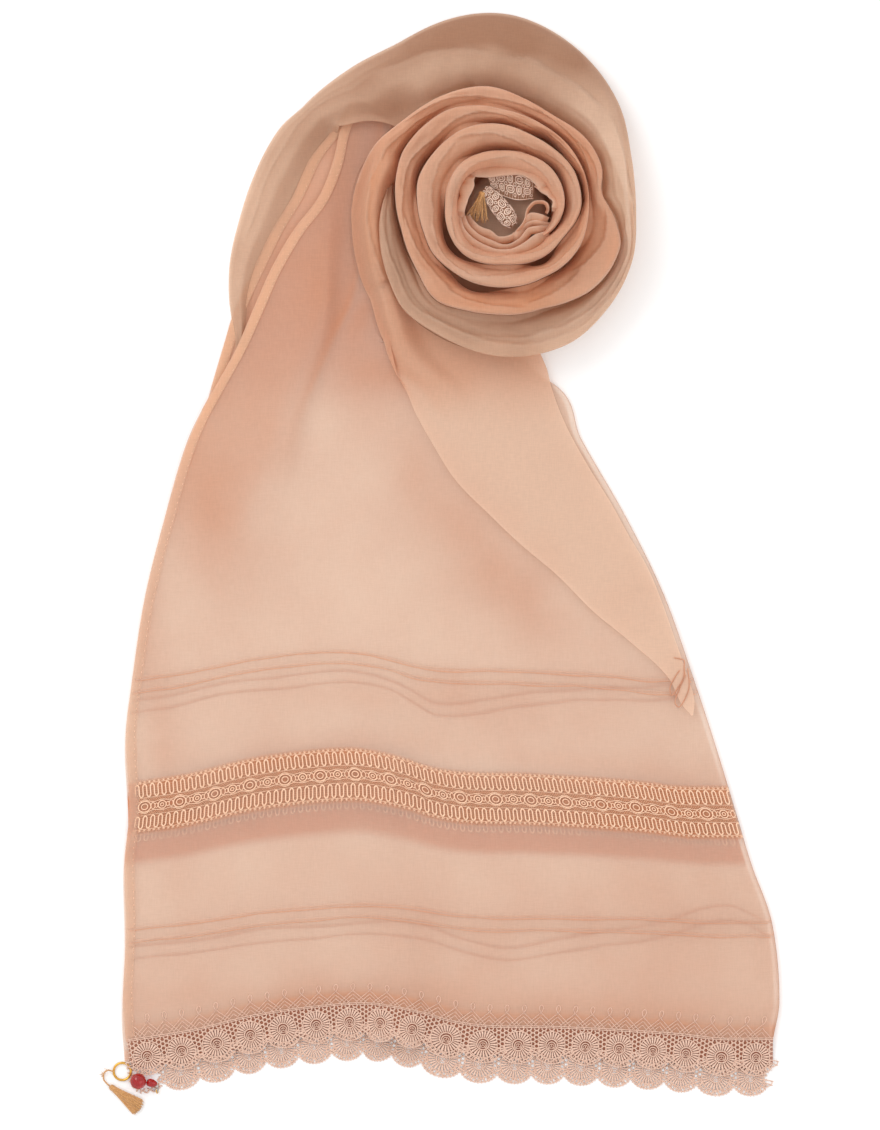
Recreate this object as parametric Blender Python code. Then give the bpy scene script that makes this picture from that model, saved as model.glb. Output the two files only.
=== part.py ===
"""A sheer dupatta stole, lying flat: the lace-edged end is laid out two layers deep, folded lengthwise,
and the rest is swept round and wound into a rosette that stands on the same surface.

Metres, +Z up. +Y runs from the laid-out hem to the rosette. The origin is under the middle of the whole.
Every table is in millimetres and degrees. Angles turn anticlockwise from +X round the rosette's centre.
"""

import math

import bmesh
import bpy
import numpy as np
from mathutils import Vector

MM = 0.001

# The cut of the cloth, and the thickness of each layer
FOLDED_WIDTH = 460.0
LEAF = 1.2
COIL_WALL = 1.6
SEAM = 0.3
BAND_THICK = 0.9
BORDER_THICK = 1.2
HEM_THICK = 0.8

# Levels of the laid-out end, from the surface up
UNDER_TOP = LEAF
UNDER_BAND_TOP = UNDER_TOP + SEAM + 0.8
UPPER_TOP = UNDER_BAND_TOP + SEAM + LEAF

# Pin tucks: where their two pairs cross the cloth, measured up from the hem seam, and their ridge
TUCKS = (74.0, 83.0, 250.0, 258.5)
TUCK_HEIGHT = 0.9
TUCK_HALF = 1.1

# The insertion lace and the scalloped border, measured up from the hem seam
BAND_LOW, BAND_HIGH = 147.0, 184.0
RING_PITCH = 26.0
RING_RELIEF = 0.5
ROSETTES = 19
ROSETTE_V = -12.0
ROSETTE_RELIEF = 0.7
SCALLOP_V, SCALLOP_DROP = -15.5, 9.5
TRELLIS_LOW, TRELLIS_HIGH = 4.0, 13.0
UNDER_SLIP = 14.0

HEM_WIDTH = 6.5

COIL_CENTRE = np.array((44.8, 244.3))
COIL_GAP = 0.8
BED_TOP = 4.0
MOUND_RADIUS, MOUND_TOP = 29.0, 30.0

PEACH = (0.80, 0.56, 0.42, 1.0)
PALE = (0.86, 0.66, 0.54, 1.0)
THREAD = (0.85, 0.60, 0.46, 1.0)
GOLD = (0.83, 0.58, 0.22, 1.0)
RED = (0.42, 0.02, 0.03, 1.0)
SILK = (0.72, 0.47, 0.22, 1.0)

# Rows across the laid-out end. up: mm of cloth above the hem seam; left, right: the edges of the upper
# leaf; rise: how far the row humps towards the rosette at its highest point.
PANEL_ROWS = (
    # up, left x, left y, right x, right y, rise
    (0.0, -221.0, -334.5, 232.0, -333.0, 26.0),
    (31.0, -223.0, -305.0, 236.5, -305.0, 22.0),
    (83.0, -221.0, -255.5, 231.0, -250.0, 16.0),
    (125.0, -222.0, -210.5, 217.0, -210.5, 21.0),
    (165.0, -218.5, -172.0, 206.5, -175.5, 26.0),
    (215.0, -221.0, -123.0, 190.5, -123.0, 24.0),
    (258.5, -216.5, -80.5, 176.5, -80.5, 20.0),
    (305.0, -208.0, -25.0, 157.0, -25.0, 8.0),
    (360.0, -194.0, 31.0, 130.0, 31.0, 2.0),
    (415.0, -177.0, 87.0, 98.0, 87.0, 0.0),
    (455.0, -160.0, 121.0, 77.0, 127.0, 0.0),
)
# The same rows further up, where the right end meets the rosette at an angle round its centre
COIL_ROWS = (
    # up, left x, left y, angle
    (480.0, -144.0, 150.0, 254.0),
    (505.0, -131.5, 179.0, 236.0),
    (535.0, -118.5, 208.0, 217.0),
    (565.0, -104.0, 233.0, 199.0),
    (598.0, -86.0, 257.0, 181.0),
    (628.0, -76.0, 282.0, 163.0),
    (655.0, -71.0, 303.5, 146.0),
)
# How a row humps: share across from the left edge, share of the rise
HUMP = (
    (0.0, 0.0), (0.1, 0.27), (0.2, 0.68), (0.3, 0.92), (0.37, 1.0), (0.42, 0.9), (0.46, 0.74),
    (0.5, 0.52), (0.55, 0.38), (0.65, 0.34), (0.75, 0.26), (0.85, 0.14), (0.93, 0.0), (1.0, 0.0),
)

# Left edge of the under leaf above the point where the upper leaf's selvedge leaves it
UNDER_LEFT = (
    # up, x, y
    (455.0, -163.0, 118.0), (480.0, -152.0, 155.0), (505.0, -145.5, 176.0), (535.0, -131.0, 208.0),
    (565.0, -118.5, 234.0), (598.0, -104.0, 258.0), (628.0, -92.0, 284.0), (655.0, -77.0, 303.0),
)

# Soft folds of the upper leaf: each is a chain of points with its height and its reach to either side
FOLDS = {
    "left shoulder": (
        # x, y, height, reach left, reach right
        (-80.0, 232.0, 6.0, 24.0, 9.0), (-88.0, 165.0, 13.0, 30.0, 10.0),
        (-106.0, 112.0, 10.0, 34.0, 12.0), (-128.0, 40.0, 5.0, 34.0, 18.0),
        (-142.0, -15.0, 2.0, 30.0, 24.0),
    ),
    "long fold": (
        (-32.0, 100.0, 3.0, 26.0, 24.0), (-30.0, 60.0, 3.0, 30.0, 26.0), (-36.0, -60.0, 4.0, 34.0, 26.0),
        (-42.0, -150.0, 5.0, 36.0, 24.0), (-32.0, -240.0, 4.5, 34.0, 20.0),
        (-22.0, -318.0, 8.5, 30.0, 14.0), (-20.0, -345.0, 8.0, 30.0, 14.0),
    ),
    "right swell": (
        (150.0, -60.0, 1.5, 40.0, 30.0), (140.0, -180.0, 2.5, 50.0, 36.0),
        (165.0, -290.0, 2.0, 50.0, 36.0), (165.0, -345.0, 1.5, 50.0, 36.0),
    ),
    "left swell": (
        (-150.0, -110.0, 1.5, 26.0, 30.0), (-150.0, -200.0, 2.5, 30.0, 36.0),
        (-140.0, -290.0, 2.0, 36.0, 40.0), (-140.0, -340.0, 1.5, 36.0, 40.0),
    ),
}

# The flap: the right side turned back over the upper leaf, from its tip up to the rosette
FLAP_ROWS = (
    # left x, left y, right x, right y
    (166.0, -97.0, 176.0, -95.0), (159.0, -80.0, 174.5, -80.0), (131.5, -54.0, 165.5, -53.0),
    (107.0, -34.0, 156.0, -26.0), (81.0, -8.0, 146.0, -2.0), (55.0, 14.0, 134.0, 20.0),
    (34.0, 34.0, 122.0, 42.0), (9.5, 59.0, 107.5, 67.0), (-8.0, 87.0, 93.0, 92.0),
    (-20.0, 108.0, 80.0, 116.0), (-25.0, 120.0, 76.0, 124.0),
)

# The sheer roll along the upper left outline: its outer edge and height. It ends along the under leaf
ROLL_ROWS = (
    # up, outer x, outer y, height
    (500.0, -150.5, 171.0, 0.5), (520.0, -147.0, 189.0, 3.0), (540.0, -145.0, 206.0, 6.0),
    (560.0, -142.5, 226.0, 9.0), (575.0, -141.0, 240.0, 10.0), (595.0, -135.0, 262.0, 12.0),
    (620.0, -124.0, 283.0, 13.0), (645.0, -109.0, 304.5, 14.0), (655.0, -98.5, 318.0, 15.0),
)

# Each turn of the rosette, clockwise. edge: outermost reach; top: height of its crest; skirt: 0 for a
# rolled fold that overhangs its foot, 1 for a slope that runs out to the surface
OUTER_TURN = (
    # angle, edge, top, skirt
    (152.0, 161.0, 17.0, 1.0), (137.0, 150.0, 21.0, 1.0), (120.0, 142.0, 26.0, 1.0),
    (105.0, 143.0, 29.0, 1.0), (90.0, 141.0, 31.0, 1.0), (70.0, 130.0, 33.0, 0.9),
    (45.0, 112.0, 34.0, 0.6), (25.0, 97.0, 34.0, 0.3), (0.0, 91.0, 34.0, 0.1),
    (-20.0, 94.0, 32.0, 0.0), (-45.0, 97.5, 30.0, 0.0), (-66.0, 101.0, 30.0, 0.0),
    (-90.0, 100.0, 30.0, 0.0), (-120.0, 97.0, 31.0, 0.0), (-135.0, 98.0, 32.0, 0.0),
    (-150.0, 94.0, 34.0, 0.0), (-163.0, 91.0, 35.0, 0.0), (-177.0, 88.0, 36.0, 0.0),
    (-189.0, 85.0, 36.0, 0.0),
)
PETAL_TURN = (
    (246.0, 122.0, 9.0, 0.9), (233.0, 119.5, 12.0, 0.8), (220.0, 116.0, 19.0, 0.6),
    (205.0, 111.0, 28.0, 0.3), (190.0, 108.5, 35.0, 0.1), (175.0, 107.5, 38.0, 0.0),
    (155.0, 103.5, 41.0, 0.0), (140.0, 96.5, 43.0, 0.0), (118.0, 92.0, 44.0, 0.0),
    (98.0, 88.0, 45.0, 0.0), (80.0, 79.5, 45.0, 0.0), (60.0, 74.5, 44.0, 0.0),
    (43.0, 75.5, 42.0, 0.0), (25.0, 73.5, 40.0, 0.0), (12.0, 68.0, 38.0, 0.0),
)
SECOND_TURN = (
    (11.3, 66.5, 38.0, 0.0), (-5.0, 77.0, 39.0, 0.0), (-18.0, 83.0, 41.0, 0.0),
    (-30.0, 82.5, 42.0, 0.0), (-43.0, 80.0, 43.0, 0.0), (-56.0, 75.5, 44.0, 0.0),
    (-72.0, 71.5, 44.0, 0.0), (-93.0, 71.5, 45.0, 0.0), (-113.0, 74.0, 45.0, 0.0),
    (-129.0, 78.0, 46.0, 0.0), (-147.0, 74.0, 46.0, 0.0), (-166.0, 73.5, 47.0, 0.0),
    (-185.0, 77.0, 48.0, 0.0), (-199.0, 80.5, 49.0, 0.0), (-212.0, 83.0, 49.0, 0.0),
    (-227.0, 82.5, 50.0, 0.0), (-242.0, 81.0, 50.0, 0.0), (-256.0, 76.0, 50.0, 0.0),
    (-270.0, 70.5, 50.0, 0.0), (-290.0, 66.0, 48.0, 0.0), (-315.0, 63.0, 46.0, 0.0),
    (-345.0, 61.0, 42.0, 0.0),
)
THIRD_TURN = (
    (-4.0, 57.0, 51.0, 0.0), (-25.0, 56.5, 53.0, 0.0), (-45.0, 54.5, 54.0, 0.0),
    (-62.0, 52.5, 55.0, 0.0), (-81.0, 52.5, 55.0, 0.0), (-99.0, 53.0, 55.0, 0.0),
    (-117.0, 54.5, 55.0, 0.0), (-134.0, 56.0, 55.0, 0.0), (-151.0, 58.5, 55.0, 0.0),
    (-166.0, 59.0, 56.0, 0.0), (-183.0, 61.5, 57.0, 0.0), (-203.0, 65.0, 58.0, 0.0),
    (-220.0, 64.5, 58.0, 0.0), (-237.0, 64.5, 58.0, 0.0), (-253.0, 63.0, 58.0, 0.0),
    (-268.0, 60.0, 57.0, 0.0), (-285.0, 56.0, 56.0, 0.0), (-307.0, 54.5, 55.0, 0.0),
    (-325.0, 55.0, 54.0, 0.0), (-339.0, 54.0, 53.0, 0.0), (-357.0, 52.0, 51.0, 0.0),
)
INNER_TURN = (
    (20.0, 42.5, 56.0, 0.0), (0.0, 42.5, 57.0, 0.0), (-25.0, 39.5, 57.0, 0.0),
    (-45.0, 37.5, 57.0, 0.0), (-70.0, 36.5, 57.0, 0.0), (-90.0, 37.0, 58.0, 0.0),
    (-115.0, 39.5, 58.0, 0.0), (-135.0, 42.0, 59.0, 0.0), (-160.0, 42.5, 60.0, 0.0),
    (-180.0, 42.5, 61.0, 0.0), (-205.0, 44.5, 61.0, 0.0), (-225.0, 45.5, 61.0, 0.0),
    (-250.0, 43.5, 60.0, 0.0), (-270.0, 42.0, 59.0, 0.0), (-290.0, 42.0, 58.0, 0.0),
    (-315.0, 43.0, 57.0, 0.0), (-334.0, 42.5, 56.0, 0.0),
)
INNER_WIDTH = 10.0
# Near its start the outer turn stops short of the rosette: angle, inner reach
OUTER_START = ((152.0, 133.0), (141.0, 99.0), (130.0, 0.0))

# A turn's section, from its foot outside over the crest to the lip inside: shares of width and height
ROLLED = (
    # in, up
    (0.30, 0.0), (0.10, 0.40), (0.0, 0.78), (0.07, 0.95), (0.28, 1.0), (0.72, 0.9), (1.0, 0.6),
)
SKIRTED = (
    (0.0, 0.0), (0.03, 0.16), (0.14, 0.42), (0.34, 0.76), (0.6, 1.0), (0.85, 0.92), (1.0, 0.6),
)

TURNS = {
    "outer_turn": OUTER_TURN,
    "petal_turn": PETAL_TURN,
    "second_turn": SECOND_TURN,
    "third_turn": THIRD_TURN,
    "inner_turn": INNER_TURN,
}
# How far before its start the turns outside a turn already clear it. The second turn carries the petal on.
EARLY = {"outer_turn": 0.0, "petal_turn": 0.0, "second_turn": 0.0, "third_turn": 10.0, "inner_turn": 10.0}
LATE = 12.0

# Folds standing in the hollow of the rosette, from its centre
HEART_FOLDS = {
    "heart_fold_loop": (
        (1.0, -15.5), (8.5, -12.0), (12.5, -5.0), (15.5, 2.0), (20.0, 6.5), (25.0, 6.0), (26.5, 1.0),
        (22.5, -2.5), (18.5, -6.0),
    ),
    "heart_fold_low": (
        (-20.0, -16.0), (-11.0, -20.5), (-2.0, -22.0), (6.0, -20.0), (13.0, -16.0), (19.0, -12.5),
        (25.0, -10.5),
    ),
}
HEART_FOLD_TOP = 47.0

# The other end's lace, tucked into the hollow: a rolled corner and a flat tongue, from the centre
END_ROLL = ((-15.5, 17.0, 3.0), (-9.5, 9.5, 4.2), (-2.0, 1.0, 4.4), (5.5, -8.0, 2.8))
END_TONGUE = (
    # outer x, outer y, inner x, inner y
    (-9.5, 24.5, -6.2, 14.0), (-2.0, 25.5, -1.0, 11.5), (9.0, 24.0, 8.0, 10.5), (18.5, 19.5, 17.0, 12.0),
)
END_TASSEL_HEAD, END_TASSEL_TIP = (-19.5, 13.0), (-20.0, -7.5)

# Trims at the lower left corner
RING_AT, RING_RADIUS, RING_WIRE = (-223.6, -355.4), 6.0, 0.8
BEAD_AT, BEAD_RADIUS = (-212.2, -361.9), 5.6
CUP_AT, CUP_RADIUS, CUP_LENGTH = (-203.0, -363.4), 2.9, 7.5
TIP_BEAD_AT, TIP_BEAD_RADIUS = (-199.5, -368.0), 2.1
TASSEL_HEAD, TASSEL_TIP = (-232.0, -365.6), (-211.0, -382.2)
LINK = (
    # x, y, z: from over the ring's wire round to the back of the tassel's head
    (-229.7, -355.4, 2.35), (-233.0, -354.4, 2.2), (-236.2, -356.2, 1.8), (-236.6, -360.4, 1.7),
    (-234.6, -363.5, 1.7), (-232.35, -365.33, 1.7),
)
LINK_WIRE = 0.55

# Where the columns of the leaves stand, as shares across, and how finely the rosette turns
UPPER_COLUMNS = (0.0, 0.09, 0.18, 0.26, 0.33, 0.39, 0.44, 0.48, 0.53, 0.61, 0.72, 0.84, 0.94, 1.0)
UPPER_ROWS = (0, 18, 52, 105, 147, 184, 215, 247, 285, 332, 372, 415, 455, 480, 492, 505, 520, 542, 565, 598,
              628, 655)
UNDER_COLUMNS = tuple(k / 10 for k in range(11))
TURN_STEP = 12.0
BORDER_STEPS = 4


def smooth(table, at, column=1):
    """A column of a table at a place on its first column, on a monotone cubic through the rows."""
    rows = np.array(table, float)
    if rows[0, 0] > rows[-1, 0]:
        rows = rows[::-1]
    x, y = rows[:, 0], rows[:, column]
    h = np.diff(x)
    slope = np.diff(y) / h
    m = np.concatenate(([slope[0]], (slope[:-1] + slope[1:]) / 2, [slope[-1]]))
    turning = np.concatenate(([False], slope[:-1] * slope[1:] <= 0, [False]))
    m[turning] = 0.0
    at = np.clip(at, x[0], x[-1])
    i = np.clip(np.searchsorted(x, at, side="right") - 1, 0, len(h) - 1)
    t = (at - x[i]) / h[i]
    return (
        y[i] * (1 + 2 * t) * (1 - t) ** 2
        + m[i] * h[i] * t * (1 - t) ** 2
        + y[i + 1] * t * t * (3 - 2 * t)
        + m[i + 1] * h[i] * t * t * (t - 1)
    )


def curve(points, count):
    """Points evenly along a smooth curve through the points given."""
    points = np.array(points, float)
    gaps = np.linalg.norm(np.diff(points[:, :2], axis=0), axis=1)
    along = np.concatenate(([0.0], np.cumsum(gaps)))
    at = np.linspace(0.0, along[-1], count)
    return np.stack([smooth(np.column_stack((along, points[:, k])), at) for k in range(points.shape[1])], 1)


def unit(v):
    return v / np.maximum(np.linalg.norm(v, axis=-1, keepdims=True), 1e-9)


def finish(name, mesh, colour, roughness=0.8, metallic=0.0):
    """Makes the mesh an object with its own material."""
    look = bpy.data.materials.new(name)
    look.use_nodes = True
    shader = look.node_tree.nodes["Principled BSDF"]
    shader.inputs["Base Color"].default_value = colour
    shader.inputs["Roughness"].default_value = roughness
    shader.inputs["Metallic"].default_value = metallic
    mesh.materials.append(look)
    mesh.shade_smooth()
    mesh.set_sharp_from_angle(angle=math.radians(40))
    bpy.context.scene.collection.objects.link(bpy.data.objects.new(name, mesh))


def new_object(name, points, faces, *look):
    mesh = bpy.data.meshes.new(name)
    mesh.from_pydata([tuple(p) for p in np.array(points) * MM], [], [tuple(f) for f in faces])
    bm = bmesh.new()
    bm.from_mesh(mesh)
    bmesh.ops.recalc_face_normals(bm, faces=bm.faces)
    bm.to_mesh(mesh)
    bm.free()
    finish(name, mesh, *look)


def wall(name, outside, inside, look):
    """A closed wall between two grids of points, which have the same rows and columns."""
    rows, columns = outside.shape[:2]
    vertices = np.concatenate((outside.reshape(-1, 3), inside.reshape(-1, 3)))
    half = rows * columns
    faces = []
    for i in range(rows - 1):
        for j in range(columns - 1):
            a, d = i * columns + j, (i + 1) * columns + j
            faces.append((a, a + 1, d + 1, d))
            faces.append((half + d, half + d + 1, half + a + 1, half + a))
    rim = [i * columns for i in range(rows)]
    rim += [(rows - 1) * columns + j for j in range(1, columns)]
    rim += [i * columns + columns - 1 for i in range(rows - 2, -1, -1)]
    rim += [j for j in range(columns - 2, 0, -1)]
    for a, b in zip(rim, rim[1:] + rim[:1]):
        faces.append((a, b, half + b, half + a))
    new_object(name, vertices, faces, look)


def lowered(grid, depth):
    return grid - np.array((0.0, 0.0, 1.0)) * depth


def tube(name, line, radii, sides, look):
    """A round bar along a line of points, closed at both ends."""
    line = np.array(line, float)
    radii = np.broadcast_to(radii, len(line))
    along = unit(np.gradient(line, axis=0))
    side = unit(np.cross(along, (0.0, 0.0, 1.0)))
    up = np.cross(side, along)
    turn = np.arange(sides) * 2 * math.pi / sides
    spokes = np.cos(turn)[None, :, None] * side[:, None] + np.sin(turn)[None, :, None] * up[:, None]
    rings = line[:, None] + radii[:, None, None] * spokes
    faces = [
        (i * sides + j, i * sides + (j + 1) % sides, (i + 1) * sides + (j + 1) % sides, (i + 1) * sides + j)
        for i in range(len(line) - 1)
        for j in range(sides)
    ]
    faces += [tuple(range(sides))[::-1], tuple((len(line) - 1) * sides + j for j in range(sides))]
    new_object(name, rings.reshape(-1, 3), faces, look)


# The rosette

def turn_reach(name, angle):
    """How far out a turn reaches at an angle, or 0 where it has ended or hasn't begun."""
    turn = TURNS[name]
    low, high = turn[-1][0] - LATE, turn[0][0] + EARLY[name]
    found = [float(smooth(turn, a)) for a in (angle - 360.0, angle, angle + 360.0) if low <= a <= high]
    return max(found, default=0.0)


def inner_reach(name, angle):
    """How far in a turn comes at an angle: as far as the turns inside it allow."""
    if name == "inner_turn":
        return turn_reach(name, angle) - INNER_WIDTH
    inside = list(TURNS)[list(TURNS).index(name) + 1 :]
    if name == "outer_turn" and angle < -110.0:
        inside.remove("petal_turn")
    if name == "petal_turn" and angle > 150.0:
        inside.append("outer_turn")
    reach = max(turn_reach(other, angle) for other in inside) + COIL_GAP
    if name == "outer_turn" and angle > 130.0:
        reach = max(reach, float(smooth(OUTER_START, angle)))
    return reach


def turn_sections(name, angles):
    """The section of a turn at each angle, as points in mm: angle by angle, from foot to lip."""
    sections = []
    for angle in angles:
        foot = BED_TOP + SEAM
        if name == "outer_turn":
            foot *= min(1.0, max(0.0, (-88.0 - angle) / 10.0))
        edge, top, skirt = (float(smooth(TURNS[name], angle, k)) for k in (1, 2, 3))
        width = edge - inner_reach(name, angle)
        shape = (1 - skirt) * np.array(ROLLED) + skirt * np.array(SKIRTED)
        sections.append(np.column_stack((edge - shape[:, 0] * width, foot + shape[:, 1] * (top - foot))))
    return np.array(sections)


def inward(sections):
    """The sections again, moved inside the fold by the wall's thickness, with level feet."""
    along = unit(np.gradient(sections, axis=1))
    moved = sections + COIL_WALL * np.stack((-along[..., 1], along[..., 0]), -1)
    moved[:, 0] = sections[:, 0] - np.array((COIL_WALL, 0.0))
    return moved


def round_coil(sections, angles):
    turn = np.radians(angles)[:, None]
    x = COIL_CENTRE[0] + sections[..., 0] * np.cos(turn)
    y = COIL_CENTRE[1] + sections[..., 0] * np.sin(turn)
    return np.stack((x, y, sections[..., 1]), -1)


def make_turn(name):
    first, last = TURNS[name][0][0], TURNS[name][-1][0]
    angles = np.linspace(first, last, round((first - last) / TURN_STEP) + 1)
    sections = turn_sections(name, angles)
    wall(name, round_coil(sections, angles), round_coil(inward(sections), angles), PEACH)


def bed_reach(angle):
    """How far out the hidden windings lie at an angle: to just inside the outermost foot."""
    reach = 0.0
    for name in ("outer_turn", "petal_turn"):
        turn = TURNS[name]
        for a in (angle - 360.0, angle, angle + 360.0):
            if turn[-1][0] <= a <= min(turn[0][0], 125.0 if name == "outer_turn" else 360.0):
                edge = float(smooth(turn, a))
                reach = max(reach, edge - ROLLED[0][0] * (edge - inner_reach(name, a)) - COIL_WALL - 0.6)
    return reach


def make_heart():
    """The hidden windings under and inside the turns, as one rounded solid with layered edges."""
    angles = np.arange(0.0, 360.0, 15.0)
    rim = np.array([bed_reach(a) for a in angles])
    rim = np.minimum(rim - 0.4, (np.roll(rim, 1) + rim + np.roll(rim, -1)) / 3)
    # in from the rim, height
    layers = ((0.0, 0.0), (0.0, 1.2), (0.9, 1.5), (0.2, 1.8), (0.2, 2.8), (1.1, 3.1), (2.2, BED_TOP))
    # radius, height
    mound = ((MOUND_RADIUS, BED_TOP), (28.0, 18.0), (25.5, 27.0), (22.0, MOUND_TOP))
    rings = [np.column_stack((rim - back, np.full(len(rim), z))) for back, z in layers]
    rings += [np.column_stack((np.full(len(rim), r), np.full(len(rim), z))) for r, z in mound]
    points = [p for ring in rings for p in round_coil(ring[:, None], angles)[:, 0]]
    n = len(angles)
    faces = [
        (k * n + j, k * n + (j + 1) % n, (k + 1) * n + (j + 1) % n, (k + 1) * n + j)
        for k in range(len(rings) - 1)
        for j in range(n)
    ]
    faces += [tuple(range(n))[::-1], tuple((len(rings) - 1) * n + j for j in range(n))]
    new_object("coil_heart", points, faces, PALE)


def make_heart_folds():
    for name, plan in HEART_FOLDS.items():
        line = curve(plan, 2 * len(plan) + 3)
        along = unit(np.gradient(line, axis=0))
        across = np.column_stack((-along[:, 1], along[:, 0]))
        sides = []
        for side in (0.5, -0.5):
            flat = COIL_CENTRE + line + across * side * COIL_WALL
            levels = (MOUND_TOP + SEAM, MOUND_TOP + 9.0, HEART_FOLD_TOP)
            sides.append(np.stack([np.column_stack((flat, np.full(len(flat), z))) for z in levels], 1))
        wall(name, sides[0], sides[1], PEACH)


# The laid-out end

def panel_table():
    """The rows of the laid-out end as up, left x, left y, right x, right y, rise."""
    rows = [list(row) for row in PANEL_ROWS]
    for up, x, y, angle in COIL_ROWS:
        edge = (turn_reach("petal_turn", angle) or turn_reach("outer_turn", angle)) + 2 * SEAM
        turn = math.radians(angle)
        meet = COIL_CENTRE + edge * np.array((math.cos(turn), math.sin(turn)))
        rows.append([up, x, y, meet[0], meet[1], 0.0])
    return rows


PANEL = panel_table()


def panel_edges(up):
    return [float(smooth(PANEL, up, k)) for k in range(1, 6)]


def fold_height(plan):
    """Height of the upper leaf's soft folds over points in plan."""
    total = np.zeros(len(plan))
    for chain in FOLDS.values():
        rows = np.array(sorted(chain, key=lambda row: row[1]))
        middle, height, left, right = (smooth(rows[:, [1, k]], plan[:, 1]) for k in (0, 2, 3, 4))
        off = plan[:, 0] - middle
        low = np.clip((plan[:, 1] - rows[0, 1] + 40.0) / 40.0, 0.0, 1.0)
        high = np.clip((rows[-1, 1] + 30.0 - plan[:, 1]) / 30.0, 0.0, 1.0)
        total += height * np.exp(-((off / np.where(off < 0, left, right)) ** 2)) * low * high
    return total


def upper_grid():
    """The upper leaf's top as points, row by row up the cloth."""
    shares = np.array(UPPER_COLUMNS)
    grid = []
    for up in UPPER_ROWS:
        lx, ly, rx, ry, rise = panel_edges(up)
        y = ly + (ry - ly) * shares + smooth(HUMP, shares) * rise
        plan = np.column_stack((lx + (rx - lx) * shares, y))
        grid.append(np.column_stack((plan, UPPER_TOP + fold_height(plan))))
    return np.array(grid)


UPPER_GRID = upper_grid()


def on_upper(up, shares):
    """Points on the upper leaf, up the cloth from the hem seam and across it."""
    k = int(np.clip(np.searchsorted(UPPER_ROWS, up) - 1, 0, len(UPPER_ROWS) - 2))
    t = (up - UPPER_ROWS[k]) / (UPPER_ROWS[k + 1] - UPPER_ROWS[k])
    row = (1 - t) * UPPER_GRID[k] + t * UPPER_GRID[k + 1]
    return np.column_stack([np.interp(shares, UPPER_COLUMNS, row[:, axis]) for axis in range(3)])


def with_columns(shares):
    """Shares across, with the upper leaf's own columns in place of any that stand next to them."""
    own = [column for column in UPPER_COLUMNS if shares[0] < column < shares[-1]]
    kept = [share for share in shares if min(abs(share - column) for column in own) > 0.003]
    return np.array(sorted(kept + own))


def with_tucks(ups):
    """Stations up the cloth with three more at each pin tuck, and how far each stands up."""
    made = {float(up): 0.0 for up in ups if min(abs(up - tuck) for tuck in TUCKS) > 1.5 * TUCK_HALF}
    for tuck in TUCKS:
        made.update({tuck - TUCK_HALF: 0.0, tuck: TUCK_HEIGHT, tuck + TUCK_HALF: 0.0})
    return sorted(made.items())


def make_upper_leaf():
    """The upper leaf. Its right edge is the lengthwise fold, which turns down to the surface."""
    top, under = [], []
    for up, ridge in with_tucks(UPPER_ROWS):
        row = on_upper(up, UPPER_COLUMNS)
        below = lowered(row, LEAF)
        row[:, 2] += ridge
        if up <= 455.0:
            row[-1, 0] -= LEAF
            below[-1, 0] -= 1.8 * LEAF
            turned = row[-1] + np.array(((LEAF, 0.0, -LEAF), (LEAF, 0.0, 0.0)))
            lining = below[-1] + np.array(((0.8 * LEAF, 0.0, -0.6), (0.8 * LEAF, 0.0, 0.0)))
            turned[1, 2] = lining[1, 2] = 0.0
        else:
            turned = row[-1] + np.array(((0.02, 0.0, -0.3), (0.02, 0.0, -0.6)))
            lining = below[-1] + np.array(((0.01, 0.0, 0.1), (0.01, 0.0, 0.2)))
        top.append(np.concatenate((row, turned)))
        under.append(np.concatenate((below, lining)))
    wall("upper_leaf", np.array(top), np.array(under), PEACH)


def under_edges(up):
    """Left and right ends of a row of the under leaf. It has slipped towards the hem, less so further up."""
    slip = UNDER_SLIP * max(0.0, 1.0 - up / 415.0)
    lx, ly, rx, ry, rise = panel_edges(up)
    if up >= UNDER_LEFT[0][0]:
        lx, ly = float(smooth(UNDER_LEFT, up, 1)), float(smooth(UNDER_LEFT, up, 2))
        if up > 455.0:
            return lx, ly, rx, ry, rise
    right_x, right_y = panel_edges(max(0.0, up - slip))[2:4]
    right_y -= max(0.0, slip - up)
    return lx - 0.8, ly - slip, right_x - 3.2 * LEAF, right_y, rise


def on_under(up, shares, level):
    lx, ly, rx, ry, rise = under_edges(up)
    columns = np.array(UNDER_COLUMNS)
    x = np.interp(shares, columns, lx + (rx - lx) * columns)
    y = np.interp(shares, columns, ly + (ry - ly) * columns + smooth(HUMP, columns) * rise)
    return np.column_stack((x, y, np.full(len(x), level)))


def make_under_leaf():
    ups = (0, 31, 110, 147, 184, 215, 232, 305, 360, 415, 455, 480, 505, 535, 565, 598, 628, 655)
    rows = with_tucks(ups)
    top = np.array([on_under(up, UNDER_COLUMNS, UNDER_TOP + 0.6 * ridge) for up, ridge in rows])
    under = np.array([on_under(up, UNDER_COLUMNS, 0.0) for up, _ in rows])
    wall("under_leaf", top, under, PEACH)


def make_flap():
    shares = np.linspace(0.0, 1.0, 7)
    top = []
    for lx, ly, rx, ry in curve(FLAP_ROWS, 14):
        plan = np.column_stack((lx + (rx - 3.0 - lx) * shares, ly + (ry - ly) * shares))
        swell = 2.5 * np.sin(math.pi * shares) * min(1.0, (rx - lx) / 60.0)
        top.append(np.column_stack((plan, UPPER_TOP + fold_height(plan) + TUCK_HEIGHT + SEAM + LEAF + swell)))
    top = np.array(top)
    wall("flap", top, lowered(top, LEAF), PALE)


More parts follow.
